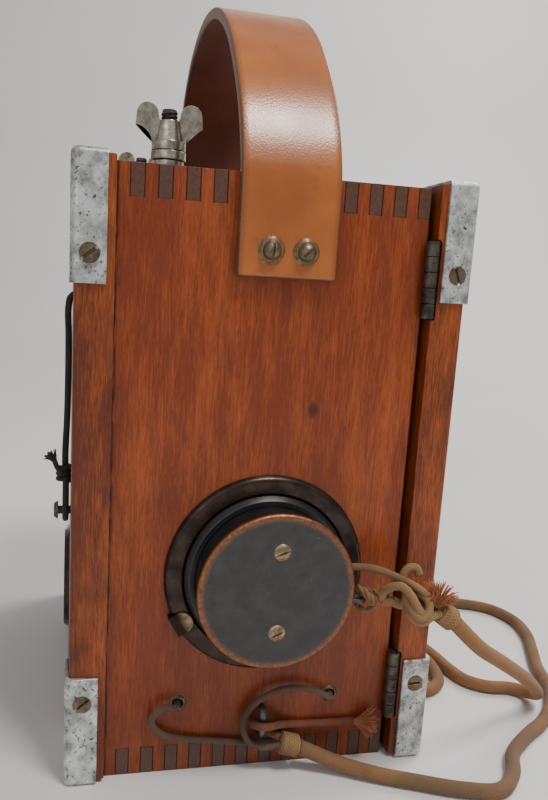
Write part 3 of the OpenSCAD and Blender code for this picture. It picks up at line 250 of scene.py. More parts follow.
# %% Smooth a route
def smooth_route(points_mm, step_mm):
    """Points spaced evenly along a rounded curve through the given ones, in metres."""
    p = [Vector(q) * MM for q in points_mm]
    p = [2 * p[0] - p[1], *p, 2 * p[-1] - p[-2]]
    fine, parts = [], 24
    for a, b, c, d in zip(p, p[1:], p[2:], p[3:]):
        t1 = (b - a).length ** 0.5
        t2 = t1 + (c - b).length ** 0.5
        t3 = t2 + (d - c).length ** 0.5
        for k in range(parts):
            t = t1 + (t2 - t1) * k / parts
            a1 = a * (t1 - t) / t1 + b * t / t1
            a2 = b * (t2 - t) / (t2 - t1) + c * (t - t1) / (t2 - t1)
            a3 = c * (t3 - t) / (t3 - t2) + d * (t - t2) / (t3 - t2)
            b1 = a1 * (t2 - t) / t2 + a2 * t / t2
            b2 = a2 * (t3 - t) / (t3 - t1) + a3 * (t - t1) / (t3 - t1)
            fine.append(b1 * (t2 - t) / (t2 - t1) + b2 * (t - t1) / (t2 - t1))
    fine.append(p[-2])
    total = sum((b - a).length for a, b in zip(fine, fine[1:]))
    count = max(2, round(total / (step_mm * MM)))
    even, gone, want = [fine[0]], 0.0, total / count
    for a, b in zip(fine, fine[1:]):
        span = (b - a).length
        while span > 0 and gone + span >= want * len(even) and len(even) < count:
            even.append(a.lerp(b, (want * len(even) - gone) / span))
        gone += span
    even.append(fine[-1])
    return even


def length_of(path):
    """The length along a path."""
    return sum((b - a).length for a, b in zip(path, path[1:]))


a_metre = smooth_route([(0, 0, 0), (400, 0, 0), (1000, 0, 0)], 50)
print("a straight metre measures", round(length_of(a_metre), 6), "m in", len(a_metre), "points")

# %% Sweep a tube along a route
def swept_tube(name, path, radius, sides=14, swell=None):
    """A closed round tube along a path, mapped round it and along it in equal units."""
    last = len(path) - 1
    ways = [(path[min(i + 1, last)] - path[max(i - 1, 0)]).normalized() for i in range(last + 1)]
    side = ways[0].orthogonal().normalized()
    points, faces, chart, gone = [], [], [], [0.0]
    for i, (at, way) in enumerate(zip(path, ways)):
        if i:
            gone.append(gone[-1] + (at - path[i - 1]).length)
            side = (side - way * side.dot(way)).normalized()
        other = way.cross(side)
        r = radius * (swell(i / last) if swell else 1)
        for k in range(sides):
            a = 2 * math.pi * k / sides
            points.append(at + r * (math.cos(a) * side + math.sin(a) * other))
    girth = 2 * math.pi * radius
    for i in range(last):
        for k in range(sides):
            n = (k + 1) % sides
            faces.append((i * sides + k, i * sides + n, (i + 1) * sides + n, (i + 1) * sides + k))
            u0, u1, v0, v1 = k / sides, (k + 1) / sides, gone[i] / girth, gone[i + 1] / girth
            chart += [(u0, v0), (u1, v0), (u1, v1), (u0, v1)]
    faces.append(tuple(reversed(range(sides))))
    faces.append(tuple(range(last * sides, (last + 1) * sides)))
    chart += [(0.5, 0.0)] * sides + [(0.5, gone[-1] / girth)] * sides
    mesh = bpy.data.meshes.new(name)
    mesh.from_pydata(points, [], faces)
    layer = mesh.uv_layers.new(name="round_and_along")
    for loop, at in zip(layer.data, chart):
        loop.uv = at
    for face in mesh.polygons:
        face.use_smooth = len(face.vertices) == 4
    made = bpy.data.objects.new(name, mesh)
    bpy.context.scene.collection.objects.link(made)
    return made


print("swept_tube:", swept_tube.__doc__)

# %% The main cord
def cord(node, points_mm, step_mm, radius_mm, sides):
    """A round cord along its route, in the place of the construction's plain one; gives its path too."""
    path = smooth_route(points_mm, step_mm)
    made = swept_tube(node + "_braid", path, radius_mm * MM, sides)
    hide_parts(node)
    print(made.name, round(length_of(path) / MM, 1), "mm long")
    return made, path


main_points = [
    (70.2, -114.2, 70.4), (86, -109.5, 56), (100, -101.5, 46), (113, -93, 36.5), (126, -83, 26.5),
    (138, -74, 16), (145.5, -66, 8), (146.5, -57.5, 4), (141, -51, 3), (131, -48.5, 3), (123, -42, 3),
    (119.5, -30, 3), (118, -14, 3), (114, 3, 3), (103, 14, 3), (90, 11, 3), (82, -4, 3), (81, -21, 3),
    (85, -38, 3), (96, -48, 3), (107, -42, 3), (110.5, -28, 4), (107.5, -11, 6.5), (106, 6, 9.4),
    (108, 20, 9), (115, 35, 6), (130, 47, 3.2), (149, 52, 3), (167, 49.5, 3), (182, 40, 3),
    (188, 23, 3), (185, 4, 3), (177, -14, 3), (168, -33, 3), (162.5, -50, 3), (155, -65, 3),
    (141, -80, 3), (125, -91, 3), (112, -102, 3), (104, -115, 3), (93.5, -123.5, 3), (79, -121, 3),
    (63, -114, 3), (48, -107, 3.2), (34, -100, 5), (19.5, -95, 9.9),
]
main_cord, main_path = cord("main_cord", main_points, 2.4, 3.0, 16)

# %% [markdown]
# At the receiver the cord splits into a thin lead, which goes in at the side of the case, and a stay,
# which is knotted to a wire eye so that a pull never reaches the lead. At the other end two leads go
# into eyelets and a second stay is tied to a staple. The stay at the receiver is two strands laid
# round each other, so it is swept twice along a route that winds about the stay's own line.

# %% The leads and the stays
lead_points = [
    (28.5, -100.9, 86.9), (33, -101, 87.6), (38, -102, 87.9), (43, -104.5, 87.5), (47.5, -108.6, 86.6),
    (51, -112, 85.6), (54.5, -114.6, 84), (58.2, -115.6, 81.2), (61.5, -115, 77.6), (64.8, -114.5, 74.5),
]
receiver_lead, lead_path = cord("receiver_lead", lead_points, 1.4, 1.4, 14)

stay_points = [
    (36.2, -100.9, 79.5), (38.2, -104.2, 79), (41.5, -106.2, 75), (41, -103, 71.2), (38, -100.8, 70.8),
    (37.4, -97.6, 73.6), (41.5, -97.2, 76.4), (45.5, -102, 76.4), (50.2, -110.6, 76.9),
]
stay_path = smooth_route(stay_points, 1.0)


def joined(pieces, name):
    """Several objects made one, under a new name."""
    only(*pieces)
    bpy.ops.object.join()
    pieces[0].name = name
    pieces[0].data.name = name
    return pieces[0]


def laid_strands(name, path, radius, apart, lay_mm):
    """Two strands that wind round a path, half a turn from each other, one turn in each lay."""
    last = len(path) - 1
    side = (path[1] - path[0]).orthogonal().normalized()
    routes, gone = ([], []), 0.0
    for i, at in enumerate(path):
        way = (path[min(i + 1, last)] - path[max(i - 1, 0)]).normalized()
        side = (side - way * side.dot(way)).normalized()
        gone += (at - path[max(i - 1, 0)]).length
        turn = Matrix.Rotation(2 * math.pi * gone / (lay_mm * MM), 3, way)
        for route, sign in zip(routes, (1, -1)):
            route.append(at + turn @ side * apart * sign)
    return joined([swept_tube(name + "_strand", route, radius, 10) for route in routes], name)


receiver_stay = laid_strands("receiver_stay_twine", stay_path, 0.72 * MM, 0.6 * MM, 6.5)
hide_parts("receiver_stay")

left_points = [
    (11.4, -92.8, 12.2), (5, -91.2, 11), (-5, -90.8, 11.6), (-18, -90.8, 13.3), (-28, -91, 15),
    (-35.5, -91.6, 18), (-39.5, -92.2, 23.5), (-37.9, -93.2, 28), (-33.6, -93.6, 29.9),
    (-30.2, -92.4, 29.4), (-29.3, -90.2, 29.05), (-29.2, -86.4, 29), (-29.2, -73.8, 29),
]
left_lead, left_path = cord("left_lead", left_points, 1.3, 1.26, 14)

right_points = [
    (11.4, -96.2, 12.2), (5, -95.6, 11.2), (-0.5, -94.6, 13.2), (-3.5, -93.6, 18.5), (-2.5, -93, 24.2),
    (1.5, -93, 29.4), (8, -93, 33.2), (16, -92.8, 34.5), (24, -93, 33.2), (29.4, -93, 30.7),
    (32.2, -92, 29.5), (32.8, -90.2, 29.1), (32.9, -86.2, 29), (32.9, -73.8, 29),
]
right_lead, right_path = cord("right_lead", right_points, 1.3, 1.26, 14)

low_points = [
    (11.3, -95, 14.8), (7.6, -93.2, 16), (4, -91.1, 17.8), (0.8, -92.2, 20), (0.2, -95.6, 21.4),
    (3, -98.6, 22), (7, -97.8, 21.4), (10.5, -94.8, 20), (14.5, -91.8, 18.2), (22, -90.8, 17.3),
    (33, -90.8, 17), (44, -90.8, 17),
]
lower_stay, low_path = cord("lower_stay", low_points, 1.3, 1.5, 12)

# %% [markdown]
# On the front cover a black cord comes out of a hole, hangs down and is looped once round a small
# stud. It may have tied the receiver or a wire back.

# %% The black cord
hole = Vector((-70.65, -79.9, 184))
stud = Vector((-72.45, -79.9, 105))
bight = 3.1
loop = [(0, bight, 8)]
loop += [(0, bight * math.cos(math.radians(a)), bight * math.sin(math.radians(a)))
         for a in (0, -45, -90, -135, -180)]
loop += [(0, -bight, 6), (0, -2.7, 13)]
hanging = [
    (10, 0, 0.4), (3, 0, 0.3), (-0.7, 0, -1.2), (-1.6, 0, -5), (-1.45, 0.4, -14), (-1.4, 1.2, -28),
    (-1.6, 0.4, -44), (-2.1, -0.6, -58),
]
black_points = [hole + Vector(q) for q in hanging] + [stud + Vector(q) for q in loop]
black_cord, black_path = cord("black_cord", black_points, 1.3, 1.2, 12)

# %% [markdown]
# Where the cord splits it is whipped: waxed thread is wound tightly round it so that the braid can't
# run back. A collar with ridges painted on would look flat at its rims, so the thread itself is swept
# round a short bound core.

# %% Whipped collars
def whipping(node, at_mm, turn_deg):
    """Waxed thread wound round a cord; the collar's axis leans from +Z towards +X."""
    core_radius, core_long, core_ease = 3.75 * MM, 8 * MM, 0.9 * MM
    coil_radius, coil_long, thread_radius = 3.95 * MM, 6.9 * MM, 0.55 * MM
    turns, per_turn = 7, 28
    at = Vector(at_mm) * MM
    lean = Matrix.Rotation(math.radians(turn_deg), 3, "Y")
    bpy.ops.object.select_all(action="DESELECT")
    bpy.ops.mesh.primitive_cylinder_add(vertices=32, radius=core_radius, depth=core_long)
    core = bpy.context.object
    bpy.ops.object.mode_set(mode="EDIT")
    bpy.ops.mesh.select_mode(type="EDGE")
    bpy.ops.mesh.select_all(action="SELECT")
    bpy.ops.mesh.bevel(offset=core_ease, segments=2, affect="EDGES")
    bpy.ops.object.mode_set(mode="OBJECT")
    core.data.transform(Matrix.Translation(at) @ lean.to_4x4())
    coil = []
    for i in range(turns * per_turn + 1):
        a = 2 * math.pi * i / per_turn
        up = (i / (turns * per_turn) - 0.5) * coil_long
        coil.append(at + lean @ Vector((coil_radius * math.cos(a), coil_radius * math.sin(a), up)))
    made = joined([swept_tube("thread", coil, thread_radius, 8), core], node + "_thread")
    bpy.ops.object.shade_smooth()
    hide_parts(node)
    return made


upper_whipping = whipping("upper_whipping", (67, -114.2, 72.7), 126)
lower_whipping = whipping("lower_whipping", (15.2, -94.6, 11.3), 107)
print("collars:", upper_whipping.name, lower_whipping.name)

# %% [markdown]
# The knot beside the receiver is the stay's end, passed round in three loops and drawn up, and a short
# cut end stands out behind it. Swept loops that pass over and under each other read as a knot from
# every side. The cut ends fray: a brush of loose cotton, each strand with a bend of its own.

# %% The knot
knot_loops = [
    [(45.5, -104, 75.4), (43.5, -108.8, 80.4), (43.9, -112.3, 83.3), (47.4, -115.1, 85.2),
     (50.6, -116.9, 82.5), (52.6, -118.4, 79), (54.8, -118.7, 75.8), (57.6, -117.5, 74.6),
     (63.4, -115.4, 73.4)],
    [(62.6, -113.4, 76), (56.6, -112.3, 82.1), (53.1, -112.4, 83.7), (50.2, -114.2, 81.4),
     (51.3, -116.9, 77.5), (54.6, -119.5, 74.2), (57.8, -118.6, 76.1), (58.1, -116.2, 79.7),
     (55.6, -113.7, 81.1), (52.1, -111.4, 78.7), (50.6, -109.9, 75.4), (47.9, -107.9, 75.8),
     (45.2, -105.2, 75)],
    [(63, -117.2, 74.8), (58.8, -118.2, 73.7), (55.5, -118.7, 72.1), (52.4, -117.1, 73.5),
     (51.3, -114.2, 75.9), (53.1, -112.1, 77.8), (56.5, -111.7, 77.3), (62.4, -113, 73.8)],
]
cut_end = [(51.9, -110.6, 83.3), (50.6, -109.6, 86.8), (52.3, -109.4, 89.7), (55.3, -109.9, 90),
           (56.6, -110.5, 87.3)]
knot_paths = [smooth_route(points, 1.2) for points in knot_loops] + [smooth_route(cut_end, 1.0)]
knot = joined([swept_tube("knot_loop", path, 1.6 * MM, 12) for path in knot_paths], "stay_knot")
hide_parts("cord_knot")
print("knot faces:", len(knot.data.polygons))

# %% Frayed ends
def frayed(name, root_mm, out, long_mm, wide_mm, count, seed):
    """A brush of cotton strands that starts at a point and spreads out along a direction."""
    chance = random.Random(seed)
    way = Vector(out).normalized()
    side = way.orthogonal().normalized()
    other = way.cross(side)
    strands = []
    for i in range(count):
        a = chance.uniform(0, 2 * math.pi)
        lean = math.sqrt(chance.random())
        aside = side * math.cos(a) + other * math.sin(a)
        curl = side * chance.uniform(-1, 1) + other * chance.uniform(-1, 1)
        tall = long_mm * chance.uniform(0.6, 1.0)
        path = []
        for k in range(7):
            t = k / 6
            path.append((Vector(root_mm) + way * tall * t * (1 - 0.25 * lean * t)
                         + aside * (0.9 * lean + wide_mm * lean * t ** 1.4)
                         + curl * 0.9 * t * t * math.sin(2.2 * t + a)) * MM)
        thin = chance.uniform(0.22, 0.36) * MM
        strands.append(swept_tube(f"{name}_{i}", path, thin, 5, lambda t: 1 - 0.45 * t))
    return joined(strands, name)


upper_tuft = frayed("upper_frayed_end", (62.2, -114.4, 75), (0.22, -0.1, 1), 12.5, 6.2, 170, 5)
lower_tuft = frayed("lower_frayed_end", (43.4, -91.6, 17), (1, -0.16, -0.04), 11.5, 5.6, 130, 8)
print("frayed ends:", [(tuft.name, len(tuft.data.polygons)) for tuft in (upper_tuft, lower_tuft)])

# %% [markdown]
# The black cord's loop is closed by a slip knot: three turns round both runs of the cord, and a short
# tail that sticks out upwards and has come apart at its tip.

# %% Slip knot of the black cord
knot_middle, knot_wide, knot_deep, knot_rise = Vector((-73.3, -79.9, 116)), 1.9, 2.6, 1.9
knot_turns = []
for degrees in range(0, 1081, 30):
    a = math.radians(degrees)
    offset = Vector((knot_wide * math.cos(a), knot_deep * math.sin(a), degrees / 360 * knot_rise))
    knot_turns.append(knot_middle + offset)
knot_tail = [(-73.6, -82.4, 119.5), (-75.4, -82.9, 121.5), (-76.6, -82.6, 124.4)]
black_knot = joined([
    *(swept_tube("black_run", smooth_route(run, 0.8), 0.95 * MM, 10) for run in (knot_turns, knot_tail)),
    frayed("black_knot_fray", knot_tail[-1], (-0.5, 0, 0.9), 4.2, 1.9, 40, 3)], "black_cord_knot")
print("slip knot faces:", len(black_knot.data.polygons))

# %% [markdown]
# Inside, cotton-covered wires join the eyelets, posts, cells, coil, condenser and transmitter. Their
# routes are the construction's own.

# %% Inner wires
y_in, z_under, spool_x, spool_z, spool_y = 77.8, 217.5, 30.05, 205.5, 37.7
cells = [(24.6, -28.5, 171.8), (24.6, 36.5, 171.8)]
zincs = [(49.35, -28.5, 171.8), (49.35, 36.5, 171.8)]
wire_routes = [
    [(-29.2, 3.6 - y_in, 29), (-32.2, 10 - y_in, 34), (-45, -60, 60), (-45, -58, 150), (-38.15, -48, 191.5),
     (-36.15, -38.7, 201.5)],
    [(32.9, 3.6 - y_in, 29), (37.9, 9 - y_in, 35), (48, -67, 60), (48, -65, 150), (40, -56, 190),
     (spool_x - 6, -spool_y - 9, spool_z - 6), (spool_x - 8, -spool_y, spool_z - 4)],
    [(-36.9, -60.8, z_under - 7.2), (-32.9, -61.8, z_under - 13), (-8, -56, 201),
     (spool_x - 18, -spool_y - 6, spool_z + 2), (spool_x - 9, -spool_y, spool_z + 6)],
    [(-36.9, 60.8, z_under - 7.2), (-36.9, 56.8, z_under - 13), (-35.15, 47, 201.5), (-35.15, 38.7, 201.5)],
    [zincs[0], (48.35, -23.5, 177.8), (40, 4, 180), (25.6, 30.5, 177.8), cells[1]],
    [cells[0], (18.6, -26.5, 177.8), (-12, -20, 172), (-22, -10, 130), (-27.15, 0, 70), (-33.45, 0, 56)],
    [zincs[1], (48.35, 38.5, 178.8), (42, 46, 190), (spool_x + 6, spool_y + 5, spool_z - 5),
     (spool_x + 5, spool_y, spool_z - 5)],
]
inner_wires = joined([swept_tube(f"wire_{i}", smooth_route(r, 2.5), 1.0 * MM, 8)
                      for i, r in enumerate(wire_routes)], "inner_wires_covered")
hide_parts("inner_wires")
print("inner wires:", len(wire_routes))

# %% [markdown]
# ## Braided cotton
# A round braid is two sets of strands that wind opposite ways and pass over each other, so the eye
# sees small slanted lozenges with dark gaps. Two slanted waves on the tube's own map give both sets;
# the higher of the two is the strand on top, and the dark in the gaps between them is painted shade.
# Handling has greyed the cord in patches.

# %% Make the cotton finishes
def braided_cotton(name, clean, soiled_and_shaded, gap_shade, strands, soils=None):
    """Cotton braid with this many strands a turn each way. Where soils is given, it is the stretch,
    in girths from the cord's start, over which handling has greyed it."""
    made, tree, here = blank(name)
    chart = put(tree, "UVMap", uv_map="round_and_along")
    around, along, _ = put(tree, "SeparateXYZ", {0: chart}).outputs
    waves = []
    for way in (1, -1):
        slant = put(tree, "Math", {0: along, 1: way, 2: around}, operation="MULTIPLY_ADD")
        phase = put(tree, "Math", {0: slant, 1: strands * 2 * math.pi}, operation="MULTIPLY")
        waves.append(put(tree, "Math", {0: phase}, operation="SINE"))
    top = put(tree, "Math", {0: waves[0], 1: waves[1]}, operation="MAXIMUM")
    lift = put(tree, "MapRange", {"Value": top, "From Min": -0.75, "From Max": 0.9})
    # patches of handling about 14 mm across, and loose fibres of a third of a millimetre
    dirt_and_shade = put(tree, "TexNoise", {"Vector": here, "Scale": per_metre(14), "Detail": 3})
    if soils:
        greyed = put(tree, "MapRange", {
            "Value": along, "From Min": soils[0], "From Max": soils[1], "To Min": -0.1, "To Max": 0.14})
        dirt_and_shade = put(tree, "Math", {0: dirt_and_shade, 1: greyed}, operation="ADD")
    patchy = put(tree, "ValToRGB", {0: dirt_and_shade}, [(0.36, clean), (0.68, soiled_and_shaded)])
    fibre = put(tree, "TexNoise", {"Vector": here, "Scale": per_metre(0.35), "Detail": 2})
    lifted = put(tree, "Math", {0: fibre, 1: 0.45, 2: lift}, operation="MULTIPLY_ADD")
    depth = put(tree, "MapRange", {"Value": lifted, "From Min": 0.15, "From Max": 0.85})
    # painted shade: where the strands dip, the gap colour stands in for the shade between them
    dyed_with_gap_shade = put(tree, "Mix", {0: depth, 6: linear(gap_shade), 7: patchy}, data_type="RGBA")
    bump = put(tree, "Bump", {"Height": lifted, "Strength": 0.4, "Distance": 0.25 * MM})
    surface(made, {"Base Color": dyed_with_gap_shade, "Roughness": 0.85, "Sheen Weight": 0.08, "Sheen Roughness": 0.5,
                   "Specular IOR Level": 0.3, "Normal": bump})
    return made


# each finish's third colour is the painted shade between the strands
cotton_main = braided_cotton("braided_cotton_tan", "#976c45", "#745c44", "#5c4634", 14, (8, 33))
cotton_lead = braided_cotton("braided_cotton_pale", "#9a7650", "#7a5f45", "#523d2b", 10)
cotton_dark = braided_cotton("braided_cotton_soiled", "#6f574a", "#57463b", "#40322a", 9)
cotton_stay = braided_cotton("braided_cotton_stay", "#7c4d38", "#643d2c", "#4a2d20", 8)
cotton_frayed = braided_cotton("frayed_cotton_ends", "#b8754c", "#96593a", "#7c4729", 3)
cotton_waxed = braided_cotton("waxed_whipping_thread", "#a58058", "#866647", "#4d3822", 3)
cotton_black = braided_cotton("braided_cotton_black", "#3d3831", "#2e2a25", "#1b1816", 9)
cottons = (cotton_main, cotton_lead, cotton_dark, cotton_stay, cotton_frayed, cotton_waxed, cotton_black)
print("cotton finishes:", [cotton.name for cotton in cottons])

# %% Dress the cords
for piece, finish, slot in (
    (main_cord, cotton_main, "cord_orange"), (receiver_lead, cotton_lead, "cord_tan"),
    (receiver_stay, cotton_lead, "cord_tan"), (left_lead, cotton_dark, "cord_tan"),
    (right_lead, cotton_dark, "cord_tan"), (lower_stay, cotton_stay, "cord_orange"),
    (black_cord, cotton_black, "cord_black"), (black_knot, cotton_black, "cord_black"),
    (knot, cotton_lead, "cord_tan"), (inner_wires, cotton_black, "cord_black"),
    (upper_whipping, cotton_waxed, "cord_tan"), (lower_whipping, cotton_waxed, "cord_tan"),
    (upper_tuft, cotton_frayed, "cord_orange"), (lower_tuft, cotton_frayed, "cord_orange"),
):
    piece.data.materials.clear()
    piece.data.materials.append(finish)
    print(piece.name, "in", finish.name)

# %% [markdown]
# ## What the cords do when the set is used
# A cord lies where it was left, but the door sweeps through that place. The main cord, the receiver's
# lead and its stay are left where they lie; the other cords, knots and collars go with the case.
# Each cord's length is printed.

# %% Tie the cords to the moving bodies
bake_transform(main_cord)
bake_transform(receiver_lead)
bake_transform(receiver_stay)
for piece in (left_lead, right_lead, lower_stay, black_cord, black_knot, knot, upper_whipping, lower_whipping,
              upper_tuft, lower_tuft, inner_wires):
    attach(piece, "case")
print("cords that bend:", main_cord.name, receiver_lead.name, receiver_stay.name)

for piece, path, wide, far_end, lay, others in (
    (receiver_lead, lead_path, 0.0028, "knot", "hanging", [knot, upper_whipping, upper_tuft]),
    (receiver_stay, stay_path, 0.0021, "knot", "hanging", []),
    (main_cord, main_path, 0.006, "object", "loose", [lower_whipping]),
    (left_lead, left_path, 0.00252, "object", "loose", []),
    (right_lead, right_path, 0.00252, "object", "loose", []),
    (lower_stay, low_path, 0.003, "bare", "loose", [lower_tuft]),
    (black_cord, black_path, 0.0024, "object", "hanging", [black_knot]),
):
    print("declared", piece.name, round(length_of(path), 4), "m")

# %% [markdown]
# ## Varnished wood
# The boards are a red, open-grained wood under old varnish. Their grain runs up the side panels and
# covers and along the top and bottom boards. Close up there are slow bands of colour, finer streaks,
# and short dark pores, and the ends of the boards are much darker because end grain drinks varnish.
# All of it follows from the place in the board, so a pattern stretched along the grain is enough.
# The side panels also have painted shade along their corner fingers and against the cover, and one
# small dark knot. Towards the foot the wood is darkened by a painted shade.

# %% Darken the joints of the side panels
# the case is twice as high as it is wide, and its corner fingers are 11.1 mm long
case_wide, fingers = 114.3 * MM, 24


def dark_joints(tree, split, streaks, wood):
    """Painted shade along the corner fingers and the cover's edge, and one dark knot in the panel."""
    knot_at, knot_size = (17.4, 145.5), (2.0, 3.0)
    x, z = split.outputs[0], split.outputs[2]
    step = put(tree, "Math", {0: x, 1: fingers / case_wide}, operation="MULTIPLY")
    part = put(tree, "Math", {0: step}, operation="FRACT")
    from_mid = put(tree, "Math", {0: part, 1: 0.5}, operation="SUBTRACT")
    side = put(tree, "Math", {0: from_mid}, operation="ABSOLUTE")
    # a joint line is about 0.6 mm wide
    line = put(tree, "MapRange", {"Value": side, "From Min": 0.4, "From Max": 0.47, "To Max": 0.8})
    half = put(tree, "Math", {0: z, 1: case_wide}, operation="SUBTRACT")
    high = put(tree, "Math", {0: half}, operation="ABSOLUTE")
    at_end = put(tree, "Math", {0: high, 1: 103.0 * MM}, operation="GREATER_THAN")
    joint_shade = put(tree, "Math", {0: line, 1: at_end}, operation="MULTIPLY")
    # painted shade in the corner against the cover, 0.7 mm wide and broken
    corner = put(tree, "MapRange", {"Value": x, "From Min": -55.9 * MM, "From Max": -56.6 * MM})
    broken = put(tree, "MapRange", {"Value": streaks, "From Min": 0.38, "From Max": 0.5})
    dirt_and_shade = put(tree, "Math", {0: corner, 1: broken}, operation="MULTIPLY")
    # the knot is about 2 mm wide and 3 mm high, with a frayed edge
    to_knot = put(tree, "CombineXYZ", {0: x, 1: z})
    shifted = put(tree, "Mapping", {
        "Vector": to_knot, "Location": (-knot_at[0] / knot_size[0], -knot_at[1] / knot_size[1], 0),
        "Scale": (per_metre(knot_size[0]), per_metre(knot_size[1]), 1)})
    far = put(tree, "VectorMath", {0: shifted}, operation="LENGTH")
    ragged = put(tree, "Math", {0: streaks, 1: 1.4, 2: far}, operation="MULTIPLY_ADD")
    spot = put(tree, "MapRange", {"Value": ragged, "From Min": 2.0, "From Max": 1.2, "To Max": 0.75})
    # painted shade along the joints and in the corner, and the knot's own dark, share one colour
    worst = put(tree, "Math", {0: joint_shade, 1: dirt_and_shade}, operation="MAXIMUM")
    worst = put(tree, "Math", {0: worst, 1: spot}, operation="MAXIMUM")
    return put(tree, "Mix", {0: worst, 6: wood, 7: linear("#26120b")}, data_type="RGBA")


print("corner fingers:", fingers, "of", round(case_wide / fingers / MM, 3), "mm")

# %% Make the wood finishes
def varnished_wood(name, pale, deep, pore, end, along, grime_and_shade, mottle=0.35, jointed=False):
    """Old varnish on open-grained wood; along is the grain's axis, 0 to 2. The last colour serves both the
    random stains and the painted shade towards the foot.
    """
    made, tree, here = blank(name)
    spots = []
    # bands 15 mm wide, streaks 0.55 mm wide, pores 0.4 mm wide (coarser than life, to show), stains 26 mm
    for wide, tall, detail in ((15, 90, 3), (0.55, 9, 2.5), (0.4, 2.6, 1), (26, 34, 6)):
        scale = [per_metre(wide)] * 3
        scale[along] = per_metre(tall)
        stretch = put(tree, "Mapping", {"Vector": here, "Scale": scale})
        spots.append(put(tree, "TexNoise", {
            "Vector": stretch, "Scale": 1, "Detail": detail, "Roughness": 0.65}))
    bands, streaks, pores, stains = spots
    tone = put(tree, "Math", {0: streaks, 1: 0.8, 2: bands}, operation="MULTIPLY_ADD")
    ground = put(tree, "ValToRGB", {0: tone}, [(0.62, pale), (1, deep)])
    pitted = put(tree, "MapRange", {"Value": pores, "From Min": 0.52, "From Max": 0.7})
    pored = put(tree, "Math", {0: pitted, 1: 0.36}, operation="MULTIPLY")
    wood = put(tree, "Mix", {0: pored, 6: ground, 7: linear(pore)}, data_type="RGBA")
    stained = put(tree, "MapRange", {"Value": stains, "From Min": 0.5, "From Max": 0.74, "To Max": mottle})
    aged = put(tree, "Mix", {0: stained, 6: wood, 7: linear(grime_and_shade)}, data_type="RGBA")
    # painted shade: darker towards the foot of the case, mottled by the stains, and gone 60 mm up
    split = put(tree, "SeparateXYZ", {0: here})
    low = put(tree, "MapRange", {
        "Value": split.outputs[2], "From Min": 60 * MM, "From Max": -5 * MM, "To Max": 0.42})
    dirt_and_shade = put(tree, "Math", {0: low, 1: stains}, operation="MULTIPLY")
    foot_shade = put(tree, "Math", {0: dirt_and_shade, 1: 1.7}, operation="MULTIPLY", use_clamp=True)
    soiled_and_shaded = put(tree, "Mix", {0: foot_shade, 6: aged, 7: linear(grime_and_shade)}, data_type="RGBA")
    if jointed:
        soiled_and_shaded = dark_joints(tree, split, streaks, soiled_and_shaded)
    axis = [0, 0, 0]
    axis[along] = 1
    facing = put(tree, "VectorMath", {0: here.node.outputs["Normal"], 1: axis}, operation="DOT_PRODUCT")
    flat = put(tree, "Math", {0: facing}, operation="ABSOLUTE")
    on_end = put(tree, "MapRange", {"Value": flat, "From Min": 0.6, "From Max": 0.9})
    speck = put(tree, "TexNoise", {"Vector": here, "Scale": per_metre(0.9), "Detail": 2})
    ends = put(tree, "Mix", {0: speck, 6: linear(end), 7: linear(pore)}, data_type="RGBA")
    colour = put(tree, "Mix", {0: on_end, 6: soiled_and_shaded, 7: ends}, data_type="RGBA")
    gloss = put(tree, "MapRange", {
        "Value": stains, "From Min": 0.3, "From Max": 0.7, "To Min": 0.33, "To Max": 0.5})
    dips = put(tree, "Math", {0: pitted, 1: -0.6, 2: streaks}, operation="MULTIPLY_ADD")
    bump = put(tree, "Bump", {"Height": dips, "Strength": 0.35, "Distance": 0.12 * MM})
    surface(made, {"Base Color": colour, "Roughness": gloss, "IOR": 1.5, "Specular IOR Level": 0.4,
                   "Coat Weight": 0.12, "Coat Roughness": 0.25, "Normal": bump})
    return made


wood_panel = varnished_wood("varnished_mahogany_panel", "#a9521c", "#7a3110", "#4a1f0c", "#86502f", 2,
                            "#5a270f", 0.34, True)
wood_top = varnished_wood("varnished_mahogany_top", "#8d4720", "#693416", "#3b2218", "#6d4a3a", 1, "#4a2f25")
wood_bottom = varnished_wood("varnished_mahogany_foot", "#7a432b", "#5c3425", "#3a2822", "#6a4b3d", 1,
                             "#382822")
wood_cover = varnished_wood("varnished_mahogany_cover", "#b2591d", "#66290d", "#34160a", "#6c4229", 2,
                            "#421f0c", 0.65)
print("wood finishes:", [wood.name for wood in (wood_panel, wood_top, wood_bottom, wood_cover)])

# %% [markdown]
# ## Eased edges
# Real boards and stampings have no knife edges: a plane or a file has broken them, and that narrow
# facet catches the light. The construction's own meshes stay as they are. For each such piece a copy
# is merged, its flat triangles are dissolved into whole faces, and its sharp edges get a small bevel.
# Smooth shading alone would tilt the light across a wide face that meets a bevel, so the normals are
# weighted by the size of the faces.

